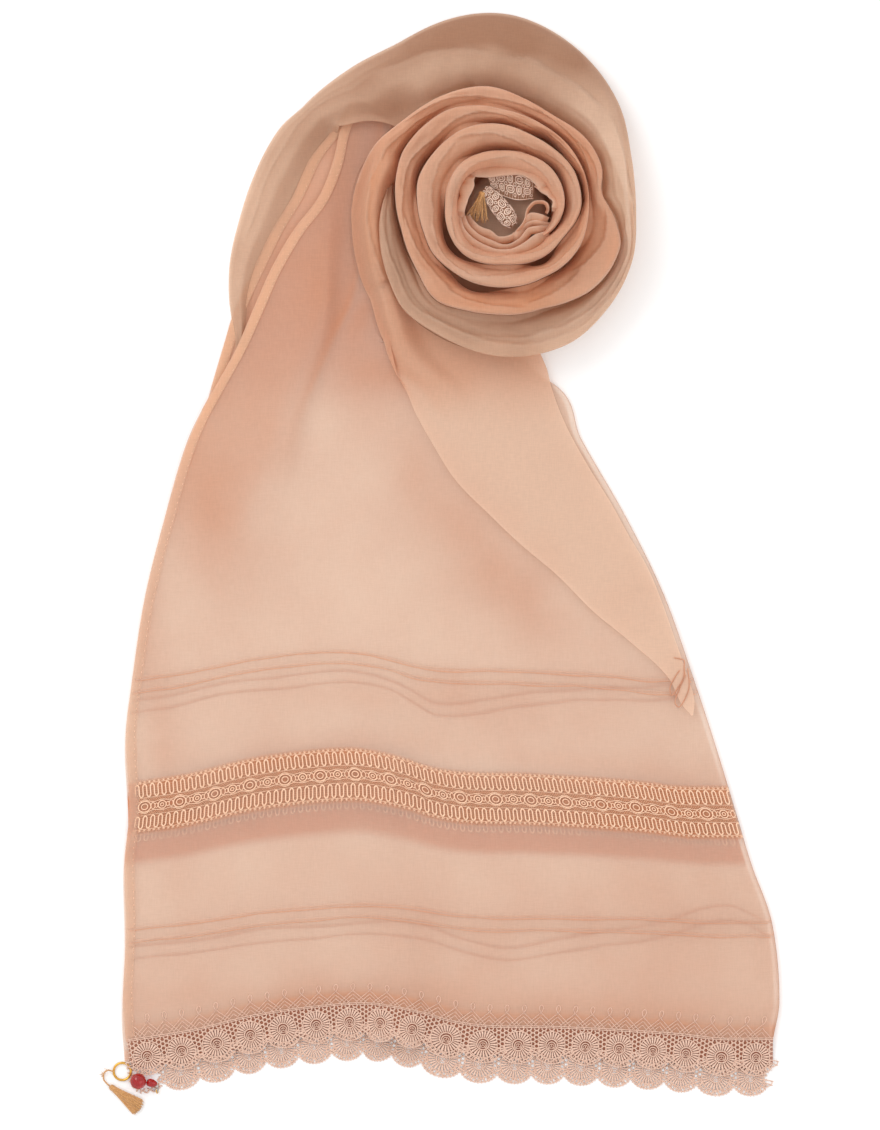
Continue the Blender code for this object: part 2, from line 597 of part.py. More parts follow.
def make_left_roll():
    shares = np.linspace(0.0, 1.0, 7)
    top = []
    for up in np.linspace(ROLL_ROWS[0][0], ROLL_ROWS[-1][0], 14):
        ox, oy, height = (float(smooth(ROLL_ROWS, up, k)) for k in (1, 2, 3))
        inner = np.array(under_edges(up)[:2])
        outer = np.array((ox, oy))
        inner = inner + unit(outer - inner)
        plan = outer + (inner - outer) * shares[:, None]
        top.append(np.column_stack((plan, LEAF + height * np.sin(math.pi * shares) ** 0.7)))
    top = np.array(top)
    wall("left_roll", top, lowered(top, LEAF), PALE)


def make_hems():
    """The narrow selvedge hems: the upper leaf's on its left margin, the under leaf's on its own."""
    top = []
    for up in np.concatenate((np.arange(16.0, 455.0, 24.0), np.arange(455.0, 640.0, 14.0))):
        lx, _, rx, _, _ = panel_edges(up)
        share = HEM_WIDTH / abs(rx - lx)
        lift = SEAM + HEM_THICK + (TUCK_HEIGHT if up < 280.0 else 0.2)
        top.append(lowered(on_upper(up, (0.2 * share, 1.2 * share)), -lift))
    top = np.array(top)
    wall("hem_upper", top, lowered(top, HEM_THICK), PALE)

    top = []
    for up in np.arange(470.0, 640.0, 12.0):
        lx, ly, rx, ry, _ = under_edges(up)
        across = unit(np.array((rx - lx, ry - ly)))
        start = np.array((lx, ly)) + 0.8 * across
        ends = np.array((start, start + HEM_WIDTH * across))
        top.append(np.column_stack((ends, np.full(2, UNDER_TOP + SEAM + HEM_THICK))))
    top = np.array(top)
    wall("hem_under", top, lowered(top, HEM_THICK), PALE)


def make_bands():
    """The insertion lace across the upper leaf, with its ring chain raised, and across the under leaf."""
    rings = round(FOLDED_WIDTH / RING_PITCH)
    shares = with_columns(np.linspace(0.021, 0.985, 2 * rings + 1))
    ring = 0.5 - 0.5 * np.cos((shares - 0.021) / (0.985 - 0.021) * rings * 2 * math.pi)
    middle = (BAND_LOW + BAND_HIGH) / 2
    relief = (
        # up, share of the ring's relief
        (BAND_LOW, 0.0), (middle - 6.0, 0.0), (middle, 1.0), (middle + 6.0, 0.0), (BAND_HIGH, 0.0),
    )
    top, under = [], []
    for up, of_ring in relief:
        below = lowered(on_upper(up, shares), -SEAM)
        row = below.copy()
        row[:, 2] += BAND_THICK + of_ring * RING_RELIEF * ring
        top.append(row)
        under.append(below)
    wall("band_upper", np.array(top), np.array(under), THREAD)

    shares = np.linspace(0.01, 0.98, 11)
    top = np.array([on_under(up, shares, UNDER_BAND_TOP) for up in (BAND_LOW, BAND_HIGH)])
    wall("band_under", top, lowered(top, UNDER_BAND_TOP - UNDER_TOP - SEAM), THREAD)


def hang(seam, drop):
    """The row at the hem seam, moved down past the end of the cloth, square to the seam."""
    along = unit(np.gradient(seam[:, :2], axis=0))
    moved = seam.copy()
    moved[:, :2] += np.column_stack((along[:, 1], -along[:, 0])) * np.reshape(drop, (-1, 1))
    return moved


def make_borders():
    """The scalloped lace border. Its trellis lies on the upper leaf, its rosettes hang past the cloth."""
    shares = with_columns(np.linspace(0.004, 0.994, ROSETTES * BORDER_STEPS + 1))
    steps = (shares - 0.004) / 0.99 * ROSETTES
    phase = steps % 1.0 - 0.5
    rosette = np.where(np.abs(phase) < 0.3, ROSETTE_RELIEF, 0.0)
    scallop = SCALLOP_V - SCALLOP_DROP * np.sqrt(1.0 - 0.94 * (phase / 0.5) ** 2)
    peak = np.abs((2 * steps + 0.5) % 1.0 - 0.5) * 2
    trellis_up = TRELLIS_HIGH - (TRELLIS_HIGH - TRELLIS_LOW) * peak

    seam = on_upper(0.0, shares)
    under = [np.array([on_upper(up, (share,))[0] for up, share in zip(trellis_up, shares)])]
    for drop, settle in ((1.0, 0.0), (-ROSETTE_V, 1.6), (-scallop, 2.3)):
        under.append(lowered(hang(seam, drop), settle))
    under = lowered(np.array(under), -2 * SEAM)
    top = lowered(under, -BORDER_THICK)
    top[2, :, 2] += rosette
    wall("border_upper", top, under, THREAD)

    first = int(np.searchsorted(steps, 0.99))
    seam = on_under(0.0, shares, 0.0)
    under = np.array([hang(seam, drop)[first:] for drop in (SEAM, -ROSETTE_V, -scallop)])
    top = lowered(under, -BORDER_THICK)
    top[1, :, 2] += 0.5 * rosette[first:]
    wall("border_under", top, under, THREAD)


# The other end, in the hollow of the rosette

def make_other_end():
    points = curve(END_ROLL, 9)
    level = MOUND_TOP + SEAM + points[:, 2].max()
    line = np.column_stack((COIL_CENTRE + points[:, :2], np.full(len(points), level)))
    tube("end_roll", line, points[:, 2], 8, THREAD)

    shares = np.linspace(0.0, 1.0, 4)
    top = []
    for ox, oy, ix, iy in curve(END_TONGUE, 9):
        plan = COIL_CENTRE + np.array((ox, oy)) + np.array((ix - ox, iy - oy)) * shares[:, None]
        top.append(np.column_stack((plan, MOUND_TOP + SEAM + BORDER_THICK + 5.0 * (1 - shares))))
    top = np.array(top)
    wall("end_tongue", top, lowered(top, BORDER_THICK), THREAD)

    level = MOUND_TOP + SEAM + 2.0
    head, tip = (np.append(COIL_CENTRE + np.array(at), level) for at in (END_TASSEL_HEAD, END_TASSEL_TIP))
    make_tassel("end_tassel", head, tip, (1.9, 5.0), 4.0)


# Trims

def make_tassel(name, head, tip, radii, head_length):
    """A tassel: a turned head whose end face sends out separate strands, which spread to either side."""
    along = unit(tip - head)
    side = unit(np.cross(along, (0.0, 0.0, 1.0)))
    up = np.cross(side, along)
    sides = 8
    turn = np.arange(sides) * 2 * math.pi / sides
    ring_shape = np.cos(turn)[:, None] * side + 0.85 * np.sin(turn)[:, None] * up
    bm = bmesh.new()

    # along the head, share of its radius. The last is the ring of strands nearest the middle.
    profile = ((0.0, 0.55), (0.15, 0.95), (0.5, 1.0), (0.8, 0.8), (1.0, 1.0), (1.0, 0.5))
    rings = []
    for share, wide in profile:
        points = head + along * head_length * share + ring_shape * radii[0] * wide
        rings.append([bm.verts.new(p) for p in points * MM])
    inner = rings.pop()
    middle = bm.verts.new((head + along * head_length) * MM)
    strands = []
    for j in range(sides):
        k = (j + 1) % sides
        for low, high in zip(rings, rings[1:]):
            bm.faces.new((low[j], low[k], high[k], high[j]))
        strands.append(bm.faces.new((rings[-1][j], rings[-1][k], inner[k], inner[j])))
        strands.append(bm.faces.new((inner[j], inner[k], middle)))
    bm.faces.new(rings[0][::-1])
    bmesh.ops.recalc_face_normals(bm, faces=bm.faces)
    bmesh.ops.inset_individual(bm, faces=strands, thickness=0.08 * MM, use_even_offset=True)
    reach = (float(np.linalg.norm(tip - head)) - head_length) / 2
    for step in (1, 2):
        strands = bmesh.ops.extrude_discrete_faces(bm, faces=strands)["faces"]
        before, after = (radii[0] + (radii[1] - radii[0]) * k / 2 for k in (step - 1, step))
        for face in strands:
            off = float((np.array(face.calc_center_median()) / MM - head) @ side)
            shift = Vector((along * reach + side * off * (after / before - 1.0)) * MM)
            for v in face.verts:
                v.co += shift
    mesh = bpy.data.meshes.new(name)
    bm.to_mesh(mesh)
    bm.free()
    finish(name, mesh, SILK, 0.45)


def make_ball(name, at, radii, look, roughness):
    bm = bmesh.new()
    bmesh.ops.create_uvsphere(bm, u_segments=12, v_segments=8, radius=1.0)
    for v in bm.verts:
        v.co = Vector((v.co[k] * radii[k] + at[k]) * MM for k in range(3))
    mesh = bpy.data.meshes.new(name)
    bm.to_mesh(mesh)
    bm.free()
    finish(name, mesh, look, roughness)


def make_trims():
    around, across = 24, 6
    points, faces = [], []
    for i in range(around):
        a = i * 2 * math.pi / around
        for j in range(across):
            b = j * 2 * math.pi / across
            r = RING_RADIUS + RING_WIRE * math.cos(b)
            z = RING_WIRE * (1 + math.sin(b))
            points.append((RING_AT[0] + r * math.cos(a), RING_AT[1] + r * math.sin(a), z))
            i2, j2 = (i + 1) % around, (j + 1) % across
            faces.append((i * across + j, i2 * across + j, i2 * across + j2, i * across + j2))
    new_object("trim_ring", points, faces, GOLD, 0.25, 1.0)
    tube("trim_link", curve(LINK, 12), LINK_WIRE, 6, SILK)
    make_ball("trim_bead", (*BEAD_AT, BEAD_RADIUS), (BEAD_RADIUS,) * 3, RED, 0.12)
    make_ball("trim_cup", (*CUP_AT, CUP_RADIUS), (CUP_LENGTH / 2, CUP_RADIUS, CUP_RADIUS), RED, 0.3)
    make_ball("trim_tip_bead", (*TIP_BEAD_AT, TIP_BEAD_RADIUS), (TIP_BEAD_RADIUS,) * 3, GOLD, 0.2)
    head, tip = (np.array((*at, 1.7)) for at in (TASSEL_HEAD, TASSEL_TIP))
    make_tassel("trim_tassel", head, tip, (1.9, 4.4), 5.0)


for old in list(bpy.data.objects):
    bpy.data.objects.remove(old)
make_under_leaf()
make_upper_leaf()
make_flap()
make_left_roll()
make_hems()
make_bands()
make_borders()
make_heart()
for turn_name in TURNS:
    make_turn(turn_name)
make_heart_folds()
make_other_end()
make_trims()
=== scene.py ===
"""Looks of the dupatta stole: sheer organza, thread-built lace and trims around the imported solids.

Tables are in millimetres and degrees, and repeat the part's own. +Y runs from the hem to the rosette.
Angles turn anticlockwise from +X round the rosette's centre.
"""

import math

import bpy
import numpy as np
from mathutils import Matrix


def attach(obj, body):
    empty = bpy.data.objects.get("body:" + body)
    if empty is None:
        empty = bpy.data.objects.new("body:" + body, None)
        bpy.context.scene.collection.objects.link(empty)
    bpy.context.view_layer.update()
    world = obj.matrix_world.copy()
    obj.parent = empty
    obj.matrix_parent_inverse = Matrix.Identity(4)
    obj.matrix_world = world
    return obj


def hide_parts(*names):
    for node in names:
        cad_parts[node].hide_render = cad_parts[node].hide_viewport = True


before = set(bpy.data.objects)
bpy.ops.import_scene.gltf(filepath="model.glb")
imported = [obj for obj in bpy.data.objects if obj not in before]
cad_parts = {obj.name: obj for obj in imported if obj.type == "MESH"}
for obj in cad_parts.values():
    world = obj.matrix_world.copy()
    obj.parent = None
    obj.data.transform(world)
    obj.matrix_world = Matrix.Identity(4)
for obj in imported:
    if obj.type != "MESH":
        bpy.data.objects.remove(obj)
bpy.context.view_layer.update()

MM = 0.001
LEAF, SEAM = 1.2, 0.3
UPPER_TOP = 3.8
TUCKS = (74, 83, 250, 258.5)
BAND_LOW, BAND_HIGH = 147, 184
WIDTH = 460
ROSETTES, ROSETTE_V = 19, -12
PITCH = WIDTH / ROSETTES
BORDER = ROSETTES * PITCH
SCALLOP_V, SCALLOP_DROP = -15.5, 9.5
# How far the under leaf has slipped at the hem, and how far up it has slipped at all
UNDER_SLIP, SLIP_END = 14, 415
# Up the cloth: where it runs in under the rosette, and where its shell ends
GATHER, CLOTH_END = 455, 690
CENTRE = np.array((44.8, 244.3))
BED_TOP = 4
# The photo: its height in pixels, and a pixel
PHOTO_TALL, PIXEL = 1130, 0.70

PANEL_ROWS = (
    # up, left x, left y, right x, right y, rise
    (0, -221, -334.5, 232, -333, 26), (31, -223, -305, 236.5, -305, 22), (83, -221, -255.5, 231, -250, 16),
    (125, -222, -210.5, 217, -210.5, 21), (165, -218.5, -172, 206.5, -175.5, 26),
    (215, -221, -123, 190.5, -123, 24), (258.5, -216.5, -80.5, 176.5, -80.5, 20),
    (305, -208, -25, 157, -25, 8), (360, -194, 31, 130, 31, 2), (415, -177, 87, 98, 87, 0),
    (455, -160, 121, 77, 127, 0),
)
COIL_ROWS = (
    # up, left x, left y, angle of the right end round the rosette
    (480, -144, 150, 254), (505, -131.5, 179, 230), (535, -118.5, 208, 217), (565, -104, 233, 199),
    (598, -86, 257, 181), (628, -76, 282, 163), (655, -71, 303.5, 146),
)
HUMP = (
    (0, 0), (0.1, 0.27), (0.2, 0.68), (0.3, 0.92), (0.37, 1), (0.42, 0.9), (0.46, 0.74), (0.5, 0.52),
    (0.55, 0.38), (0.65, 0.34), (0.75, 0.26), (0.85, 0.14), (0.93, 0), (1, 0),
)
UNDER_LEFT = (
    # up, x, y
    (455, -163, 118), (480, -152, 155), (505, -145.5, 176), (535, -131, 208), (565, -118.5, 234),
    (598, -104, 258), (628, -92, 284), (655, -77, 303), (690, -64, 324),
)
FOLDS = (
    # each fold is a chain of x, y, height, reach left, reach right
    ((-80, 232, 4, 30, 9), (-84, 165, 8, 36, 8), (-101, 112, 6.5, 40, 9), (-124, 40, 4, 40, 15),
     (-142, -15, 2, 34, 24)),
    ((-32, 100, 3, 26, 24), (-30, 60, 3, 30, 26), (-36, -60, 4, 34, 26), (-42, -150, 5, 36, 24),
     (-32, -240, 4.5, 34, 20), (-22, -318, 8.5, 30, 14), (-20, -345, 8, 30, 14)),
    ((150, -60, 1.5, 40, 30), (140, -180, 2.5, 50, 36), (165, -290, 2, 50, 36), (165, -345, 1.5, 50, 36)),
    ((-150, -110, 1.5, 26, 30), (-150, -200, 2.5, 30, 36), (-140, -290, 2, 36, 40),
     (-140, -340, 1.5, 36, 40)),
)

# The turned-back flap, tip first, then its rows as they fan out below the rosette and become its petal
FLAP_ROWS = (
    # outer x, outer y, inner x, inner y
    (168, -98, 177, -97), (159, -80, 172.5, -80), (131.5, -54, 163.5, -53), (107, -34, 154, -26),
    (81, -8, 144, -2), (55, 14, 131, 20), (34, 34, 119, 42), (9.5, 59, 103.5, 67), (-8, 87, 88, 95),
    (-20, 108, 76, 122), (-25.5, 118, 70, 140), (-31, 124.5, 60, 155), (-35.4, 130, 40, 168),
    (-37.5, 138, 18, 176), (-39.5, 146, 2, 181), (-42.5, 158, -10, 186), (-46.5, 171, -19, 193),
    (-51.5, 184.8, -27, 205),
)

# Where the flap runs out on the cloth below it, and the small tucks that its end is caught up in
FLAP_TIP = (174.8, -106, 176, -105.8)
TUCK_LOOPS = (
    ((162.5, -65.5), (169.8, -67.9), (169.8, -76), (164.9, -87.2), (160.9, -92), (159.8, -87.2),
     (163.3, -79.1), (166.5, -74.3)),
    ((172.1, -72.7), (173.3, -84), (170.6, -93.6), (165.8, -100), (163.3, -96.8), (165.8, -88.8),
     (170.6, -77.6)),
)

# angle, edge, top, skirt
OUTER_TURN = (
    (152, 161, 17, 1), (137, 150, 21, 1), (120, 142, 26, 1), (105, 143, 29, 1), (90, 141, 31, 1),
    (70, 130, 33, 0.9), (45, 112, 34, 0.6), (25, 97, 34, 0.3), (0, 91, 34, 0.1), (-20, 94, 32, 0),
    (-45, 97.5, 30, 0), (-66, 101, 30, 0), (-90, 100, 30, 0), (-120, 97, 31, 0), (-135, 98, 32, 0),
    (-150, 94, 34, 0), (-163, 91, 35, 0), (-177, 88, 36, 0), (-189, 85, 36, 0),
)
PETAL_TURN = (
    (246, 122, 9, 0.9), (233, 119.5, 12, 0.8), (220, 116, 19, 0.6), (205, 111, 28, 0.3),
    (190, 108.5, 35, 0.1), (175, 107.5, 38, 0), (155, 103.5, 41, 0), (140, 96.5, 43, 0), (118, 92, 44, 0),
    (98, 88, 45, 0), (80, 79.5, 45, 0), (60, 74.5, 44, 0), (43, 75.5, 42, 0), (25, 73.5, 40, 0),
    (12, 68, 38, 0),
)
SECOND_TURN = (
    (11.3, 66.5, 38, 0), (-5, 77, 39, 0), (-18, 83, 41, 0), (-30, 82.5, 42, 0), (-43, 80, 43, 0),
    (-56, 75.5, 44, 0), (-72, 71.5, 44, 0), (-93, 71.5, 45, 0), (-113, 74, 45, 0), (-129, 78, 46, 0),
    (-147, 74, 46, 0), (-166, 73.5, 47, 0), (-185, 77, 48, 0), (-199, 80.5, 49, 0), (-212, 83, 49, 0),
    (-227, 82.5, 50, 0), (-242, 81, 50, 0), (-256, 76, 50, 0), (-270, 70.5, 50, 0), (-290, 66, 48, 0),
    (-315, 63, 46, 0), (-345, 61, 42, 0),
)
THIRD_TURN = (
    (-4, 57, 51, 0), (-25, 56.5, 53, 0), (-45, 54.5, 54, 0), (-62, 52.5, 55, 0), (-81, 52.5, 55, 0),
    (-99, 53, 55, 0), (-117, 54.5, 55, 0), (-134, 56, 55, 0), (-151, 58.5, 55, 0), (-166, 59, 56, 0),
    (-183, 61.5, 57, 0), (-203, 65, 58, 0), (-220, 64.5, 58, 0), (-237, 64.5, 58, 0), (-253, 63, 58, 0),
    (-268, 60, 57, 0), (-285, 56, 56, 0), (-307, 54.5, 55, 0), (-325, 55, 54, 0), (-339, 54, 53, 0),
    (-357, 52, 51, 0),
)
INNER_TURN = (
    (20, 42.5, 56, 0), (0, 42.5, 57, 0), (-25, 39.5, 57, 0), (-45, 37.5, 57, 0), (-70, 36.5, 57, 0),
    (-90, 37, 58, 0), (-115, 39.5, 58, 0), (-135, 42, 59, 0), (-160, 42.5, 60, 0), (-180, 42.5, 61, 0),
    (-205, 44.5, 61, 0), (-225, 45.5, 61, 0), (-250, 43.5, 60, 0), (-270, 42, 59, 0), (-290, 42, 58, 0),
    (-315, 43, 57, 0), (-334, 42.5, 56, 0),
)
INNER_WIDTH = 10
OUTER_START = ((152, 133), (141, 99), (130, 0))
TURNS = {
    "outer_turn": OUTER_TURN,
    "petal_turn": PETAL_TURN,
    "second_turn": SECOND_TURN,
    "third_turn": THIRD_TURN,
    "inner_turn": INNER_TURN,
}
# How far a turn is taken to run past its first and its last row
EARLY, LATE = {"third_turn": 10, "inner_turn": 10}, 12

# The sweep's start, along the upper left outline: angle, edge, inner reach, top, height of the inner lip
SWEEP_START = (
    (208, 213, 206, 3, 0), (203.6, 208, 197, 5, 0), (199, 203.5, 189, 7, 0), (190, 196, 172, 10, 0),
    (181, 186.5, 154, 12, 0), (172, 179, 144, 13.5, 0), (165, 174, 138, 15, 0), (158, 168.5, 134, 16, 0),
    (154.5, 164, 133, 16.5, 1), (152, 161, 133, 17, 6),
)

# A turn's section from its foot outside, over the crest, to the lip and down into the next crevice
ROLLED = (
    # in, up
    (0.28, 0), (0.12, 0.35), (0.02, 0.7), (0, 0.87), (0.015, 0.95), (0.07, 0.99), (0.2, 1), (0.42, 0.98),
    (0.66, 0.93), (0.86, 0.84), (0.99, 0.62), (1.04, 0.3),
)
SKIRTED = (
    (0, 0), (0.01, 0.08), (0.04, 0.18), (0.09, 0.3), (0.17, 0.46), (0.28, 0.66), (0.43, 0.85), (0.6, 1),
    (0.78, 0.97), (0.92, 0.8), (1.02, 0.55), (1.05, 0.3),
)


def smooth(table, at, column=1):
    """A column of a table at places on its first column, on a monotone cubic through the rows."""
    rows = np.array(table, float)
    if rows[0, 0] > rows[-1, 0]:
        rows = rows[::-1]
    x, y = rows[:, 0], rows[:, column]
    h = np.diff(x)
    slope = np.diff(y) / h
    m = np.concatenate(([slope[0]], (slope[:-1] + slope[1:]) / 2, [slope[-1]]))
    turning = np.concatenate(([False], slope[:-1] * slope[1:] <= 0, [False]))
    m[turning] = 0
    at = np.clip(at, x[0], x[-1])
    i = np.clip(np.searchsorted(x, at, side="right") - 1, 0, len(h) - 1)
    t = (at - x[i]) / h[i]
    return (
        y[i] * (1 + 2 * t) * (1 - t) ** 2
        + m[i] * h[i] * t * (1 - t) ** 2
        + y[i + 1] * t * t * (3 - 2 * t)
        + m[i + 1] * h[i] * t * t * (t - 1)
    )


def curve(points, count):
    """Points evenly along a smooth curve through the points given."""
    points = np.array(points, float)
    gaps = np.linalg.norm(np.diff(points[:, :2], axis=0), axis=1)
    along = np.concatenate(([0], np.cumsum(gaps)))
    at = np.linspace(0, along[-1], count)
    return np.stack([smooth(np.column_stack((along, points[:, k])), at) for k in range(points.shape[1])], 1)


def unit(v):
    return v / np.maximum(np.linalg.norm(v, axis=-1, keepdims=True), 1e-9)


def step(t):
    t = np.clip(t, 0, 1)
    return t * t * (3 - 2 * t)


def direction(angle):
    return math.cos(math.radians(angle)), math.sin(math.radians(angle))


def noise(x, y, seed):
    """Smooth noise from -1 to 1 on a lattice of one unit."""
    table = np.random.RandomState(seed).uniform(-1, 1, (64, 64))
    x, y = np.broadcast_arrays(np.asarray(x, float), np.asarray(y, float))
    i, j = np.floor(x).astype(int), np.floor(y).astype(int)
    u, v = step(x - i), step(y - j)
    a, b = table[i % 64, j % 64], table[(i + 1) % 64, j % 64]
    c, d = table[i % 64, (j + 1) % 64], table[(i + 1) % 64, (j + 1) % 64]
    return (a * (1 - u) + b * u) * (1 - v) + (c * (1 - u) + d * u) * v


def linear(r, g, b):
    """A colour from its 0 to 255 screen values."""
    found = [v / 255 for v in (r, g, b)]
    return tuple(v / 12.92 if v <= 0.04045 else ((v + 0.055) / 1.055) ** 2.4 for v in found) + (1,)


# Materials

# The output that a kind of node is used for, where it isn't its first
OUTPUTS = {"TexCoord": "Object", "Attribute": "Fac", "Mix": 2}


class Shader:
    """A material and the nodes of its tree."""

    def __init__(self, name, inputs):
        self.material = bpy.data.materials.new(name)
        self.material.use_nodes = True
        self.tree = self.material.node_tree
        self.body = self.tree.nodes["Principled BSDF"]
        self.fill(self.body, inputs)

    def fill(self, node, inputs):
        for key, value in inputs.items():
            if isinstance(value, bpy.types.NodeSocket):
                self.tree.links.new(value, node.inputs[key])
            else:
                node.inputs[key].default_value = value

    def add(self, kind, inputs, **settings):
        """A node whose inputs are values or other nodes' outputs. Gives the output that is used here."""
        node = self.tree.nodes.new("ShaderNode" + kind)
        for key, value in settings.items():
            setattr(node, key, value)
        self.fill(node, inputs)
        return node.outputs[OUTPUTS.get(kind, 0)]

    def noise(self, stretch=(1, 1, 1), **inputs):
        place = self.add("TexCoord", {})
        stretched = self.add("Mapping", {"Vector": place, "Scale": stretch})
        return self.add("TexNoise", {"Vector": stretched, **inputs})

    def span(self, value, low, high, to_low, to_high):
        ends = {"From Min": low, "From Max": high, "To Min": to_low, "To Max": to_high}
        return self.add("MapRange", {"Value": value, **ends})

    def combine(self, operation, first, second, clamp=True):
        return self.add("Math", {0: first, 1: second}, operation=operation, use_clamp=clamp)

    def blend(self, share, first, second, how="MIX"):
        return self.add("Mix", {0: share, 6: first, 7: second}, data_type="RGBA", blend_type=how)

    def bump(self, strength, height):
        return self.add("Bump", {"Strength": strength, "Distance": 0.0002, "Height": height})


def organza(name, pale, deep, thin, dense, glow):
    """Sheer silk: its colour and the share of threads grow with the depth attribute, from thin to dense;
    depth holds layered cloth and painted shade and light.
    """
    silk = Shader(name, {"Roughness": 0.6, "Specular IOR Level": 0.3, "Sheen Weight": 0.25,
                         "Sheen Roughness": 0.4, "Sheen Tint": linear(255, 225, 200)})
    warp, weft = (silk.noise(way, Scale=1, Detail=2) for way in ((160, 1500, 160), (1500, 140, 160)))
    grain = silk.combine("ADD", warp, weft, False)
    threads = silk.span(grain, 0.75, 1.25, 0.97, 1.03)
    cloud = silk.noise(Scale=22, Detail=4, Roughness=0.55)
    depth = silk.add("Attribute", {}, attribute_name="depth")
    total = silk.combine("ADD", depth, silk.span(cloud, 0.3, 0.7, -0.06, 0.06))
    woven = silk.blend(0.5, silk.blend(total, pale, deep), threads, "MULTIPLY")
    silk.fill(silk.body, {"Base Color": woven, "Normal": silk.bump(0.12, grain)})
    through = silk.add("BsdfTranslucent", {"Color": woven})
    lit = silk.add("MixShader", {0: glow, 1: silk.body.outputs[0], 2: through})
    clear = silk.add("BsdfTransparent", {"Color": (1, 0.93, 0.87, 1)})
    cover = silk.combine("MULTIPLY", silk.span(total, 0, 1, thin, dense), threads)
    both = silk.add("MixShader", {0: cover, 1: clear, 2: lit})
    silk.fill(silk.tree.nodes["Material Output"], {"Surface": both})
    return silk.material


def thread_material(name, light, dark, scale=1500, roughness=0.6, sheen=0.2):
    """Spun thread: light and dark plies in a fine irregular grain, with a bump of the same."""
    yarn = Shader(name, {"Roughness": roughness, "Sheen Weight": sheen})
    grain = yarn.noise(Scale=scale, Detail=3, Roughness=0.6)
    colour = yarn.blend(yarn.span(grain, 0.35, 0.65, 0, 1), dark, light)
    yarn.fill(yarn.body, {"Base Color": colour, "Normal": yarn.bump(0.4, grain)})
    return yarn.material


def polished(name, base, second, roughness, metallic=0, transmission=0, scale=300):
    """Metal or glass with a faint drift between two colours and a little unevenness in its polish."""
    gloss = Shader(name, {"Metallic": metallic, "Transmission Weight": transmission,
                          "Coat Weight": 0 if metallic else 0.2, "Coat Roughness": 0.06})
    drift = gloss.noise(Scale=scale, Detail=2)
    wear = gloss.span(drift, 0, 1, 0.6 * roughness, 1.5 * roughness)
    gloss.fill(gloss.body, {"Base Color": gloss.blend(drift, base, second), "Roughness": wear})
    return gloss.material


PALE, DEEP = linear(230, 212, 199), linear(216, 150, 110)
SHEER = organza("organza_sheer", PALE, DEEP, 0.40, 0.92, 0.35)
BACK = organza("organza_back", PALE, DEEP, 0.46, 0.92, 0.3)
ROLL = organza("organza_sweep", linear(238, 202, 174), linear(166, 121, 94), 0.62, 0.97, 0.25)
HEM = organza("organza_hem", linear(226, 198, 178), linear(234, 188, 154), 0.40, 0.86, 0.3)
PETAL = organza("organza_petal", linear(238, 208, 185), linear(214, 142, 98), 0.70, 0.97, 0.28)
# Painted shade: a dark sheer ground behind the hanging lace, seen through the lace's holes
GROUND_AND_SHADE = organza("lace_ground_painted_shade", linear(214, 160, 132), linear(168, 104, 78), 0.5, 0.78, 0.2)
LACE = thread_material("lace_thread", linear(238, 206, 186), linear(212, 168, 146))
BAND = thread_material("band_thread", linear(252, 216, 186), linear(236, 186, 150))
NET = thread_material("net_thread", linear(232, 180, 144), linear(208, 150, 114))
END = thread_material("end_thread", linear(255, 234, 216), linear(238, 202, 180))
SILK = thread_material("tassel_silk", linear(222, 172, 108), linear(176, 116, 58), 1800, 0.35, 0.4)
GILT = polished("gilt", linear(236, 190, 96), linear(196, 136, 48), 0.16, metallic=1)
GARNET = polished("garnet", linear(226, 6, 16), linear(150, 0, 6), 0.08, transmission=0.5, scale=260)
CLEAR = polished("clear_bead", linear(240, 236, 230), linear(214, 210, 205), 0.05, transmission=0.7)


# Pieces

def put(name, data):
    made = bpy.data.objects.new(name, data)
    bpy.context.scene.collection.objects.link(made)
    return made


def piece(name, points, faces, material, nodes=(), depth=None):
    mesh = bpy.data.meshes.new(name)
    mesh.from_pydata((np.asarray(points) * MM).tolist(), [], np.asarray(faces).tolist())
    mesh.materials.append(material)
    mesh.shade_smooth()
    if depth is not None:
        layer = mesh.attributes.new("depth", "FLOAT", "POINT")
        layer.data.foreach_set("value", np.clip(np.asarray(depth, np.float32).ravel(), 0, 1))
    made = put(name, mesh)
    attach(made, "root")
    if nodes:
        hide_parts(*nodes)
    return made


def declare(made):
    """Update a piece's mesh data."""
    made.data.update()


def grid_faces(rows, columns):
    a = (np.arange(rows - 1)[:, None] * columns + np.arange(columns - 1)[None, :]).ravel()
    return np.column_stack((a, a + 1, a + columns + 1, a + columns))


def cloth(name, grid, depth, material, nodes=()):
    rows, columns = grid.shape[:2]
    return piece(name, grid.reshape(-1, 3), grid_faces(rows, columns), material, nodes, depth)


def ring_faces(rows, around, closed=False):
    """Faces between rings of points, each ring joined to the next."""
    i, j = np.arange(rows if closed else rows - 1)[:, None], np.arange(around)
    here, above, after = i * around, (i + 1) % rows * around, (j + 1) % around
    return np.stack((here + j, here + after, above + after, above + j), -1).reshape(-1, 4)


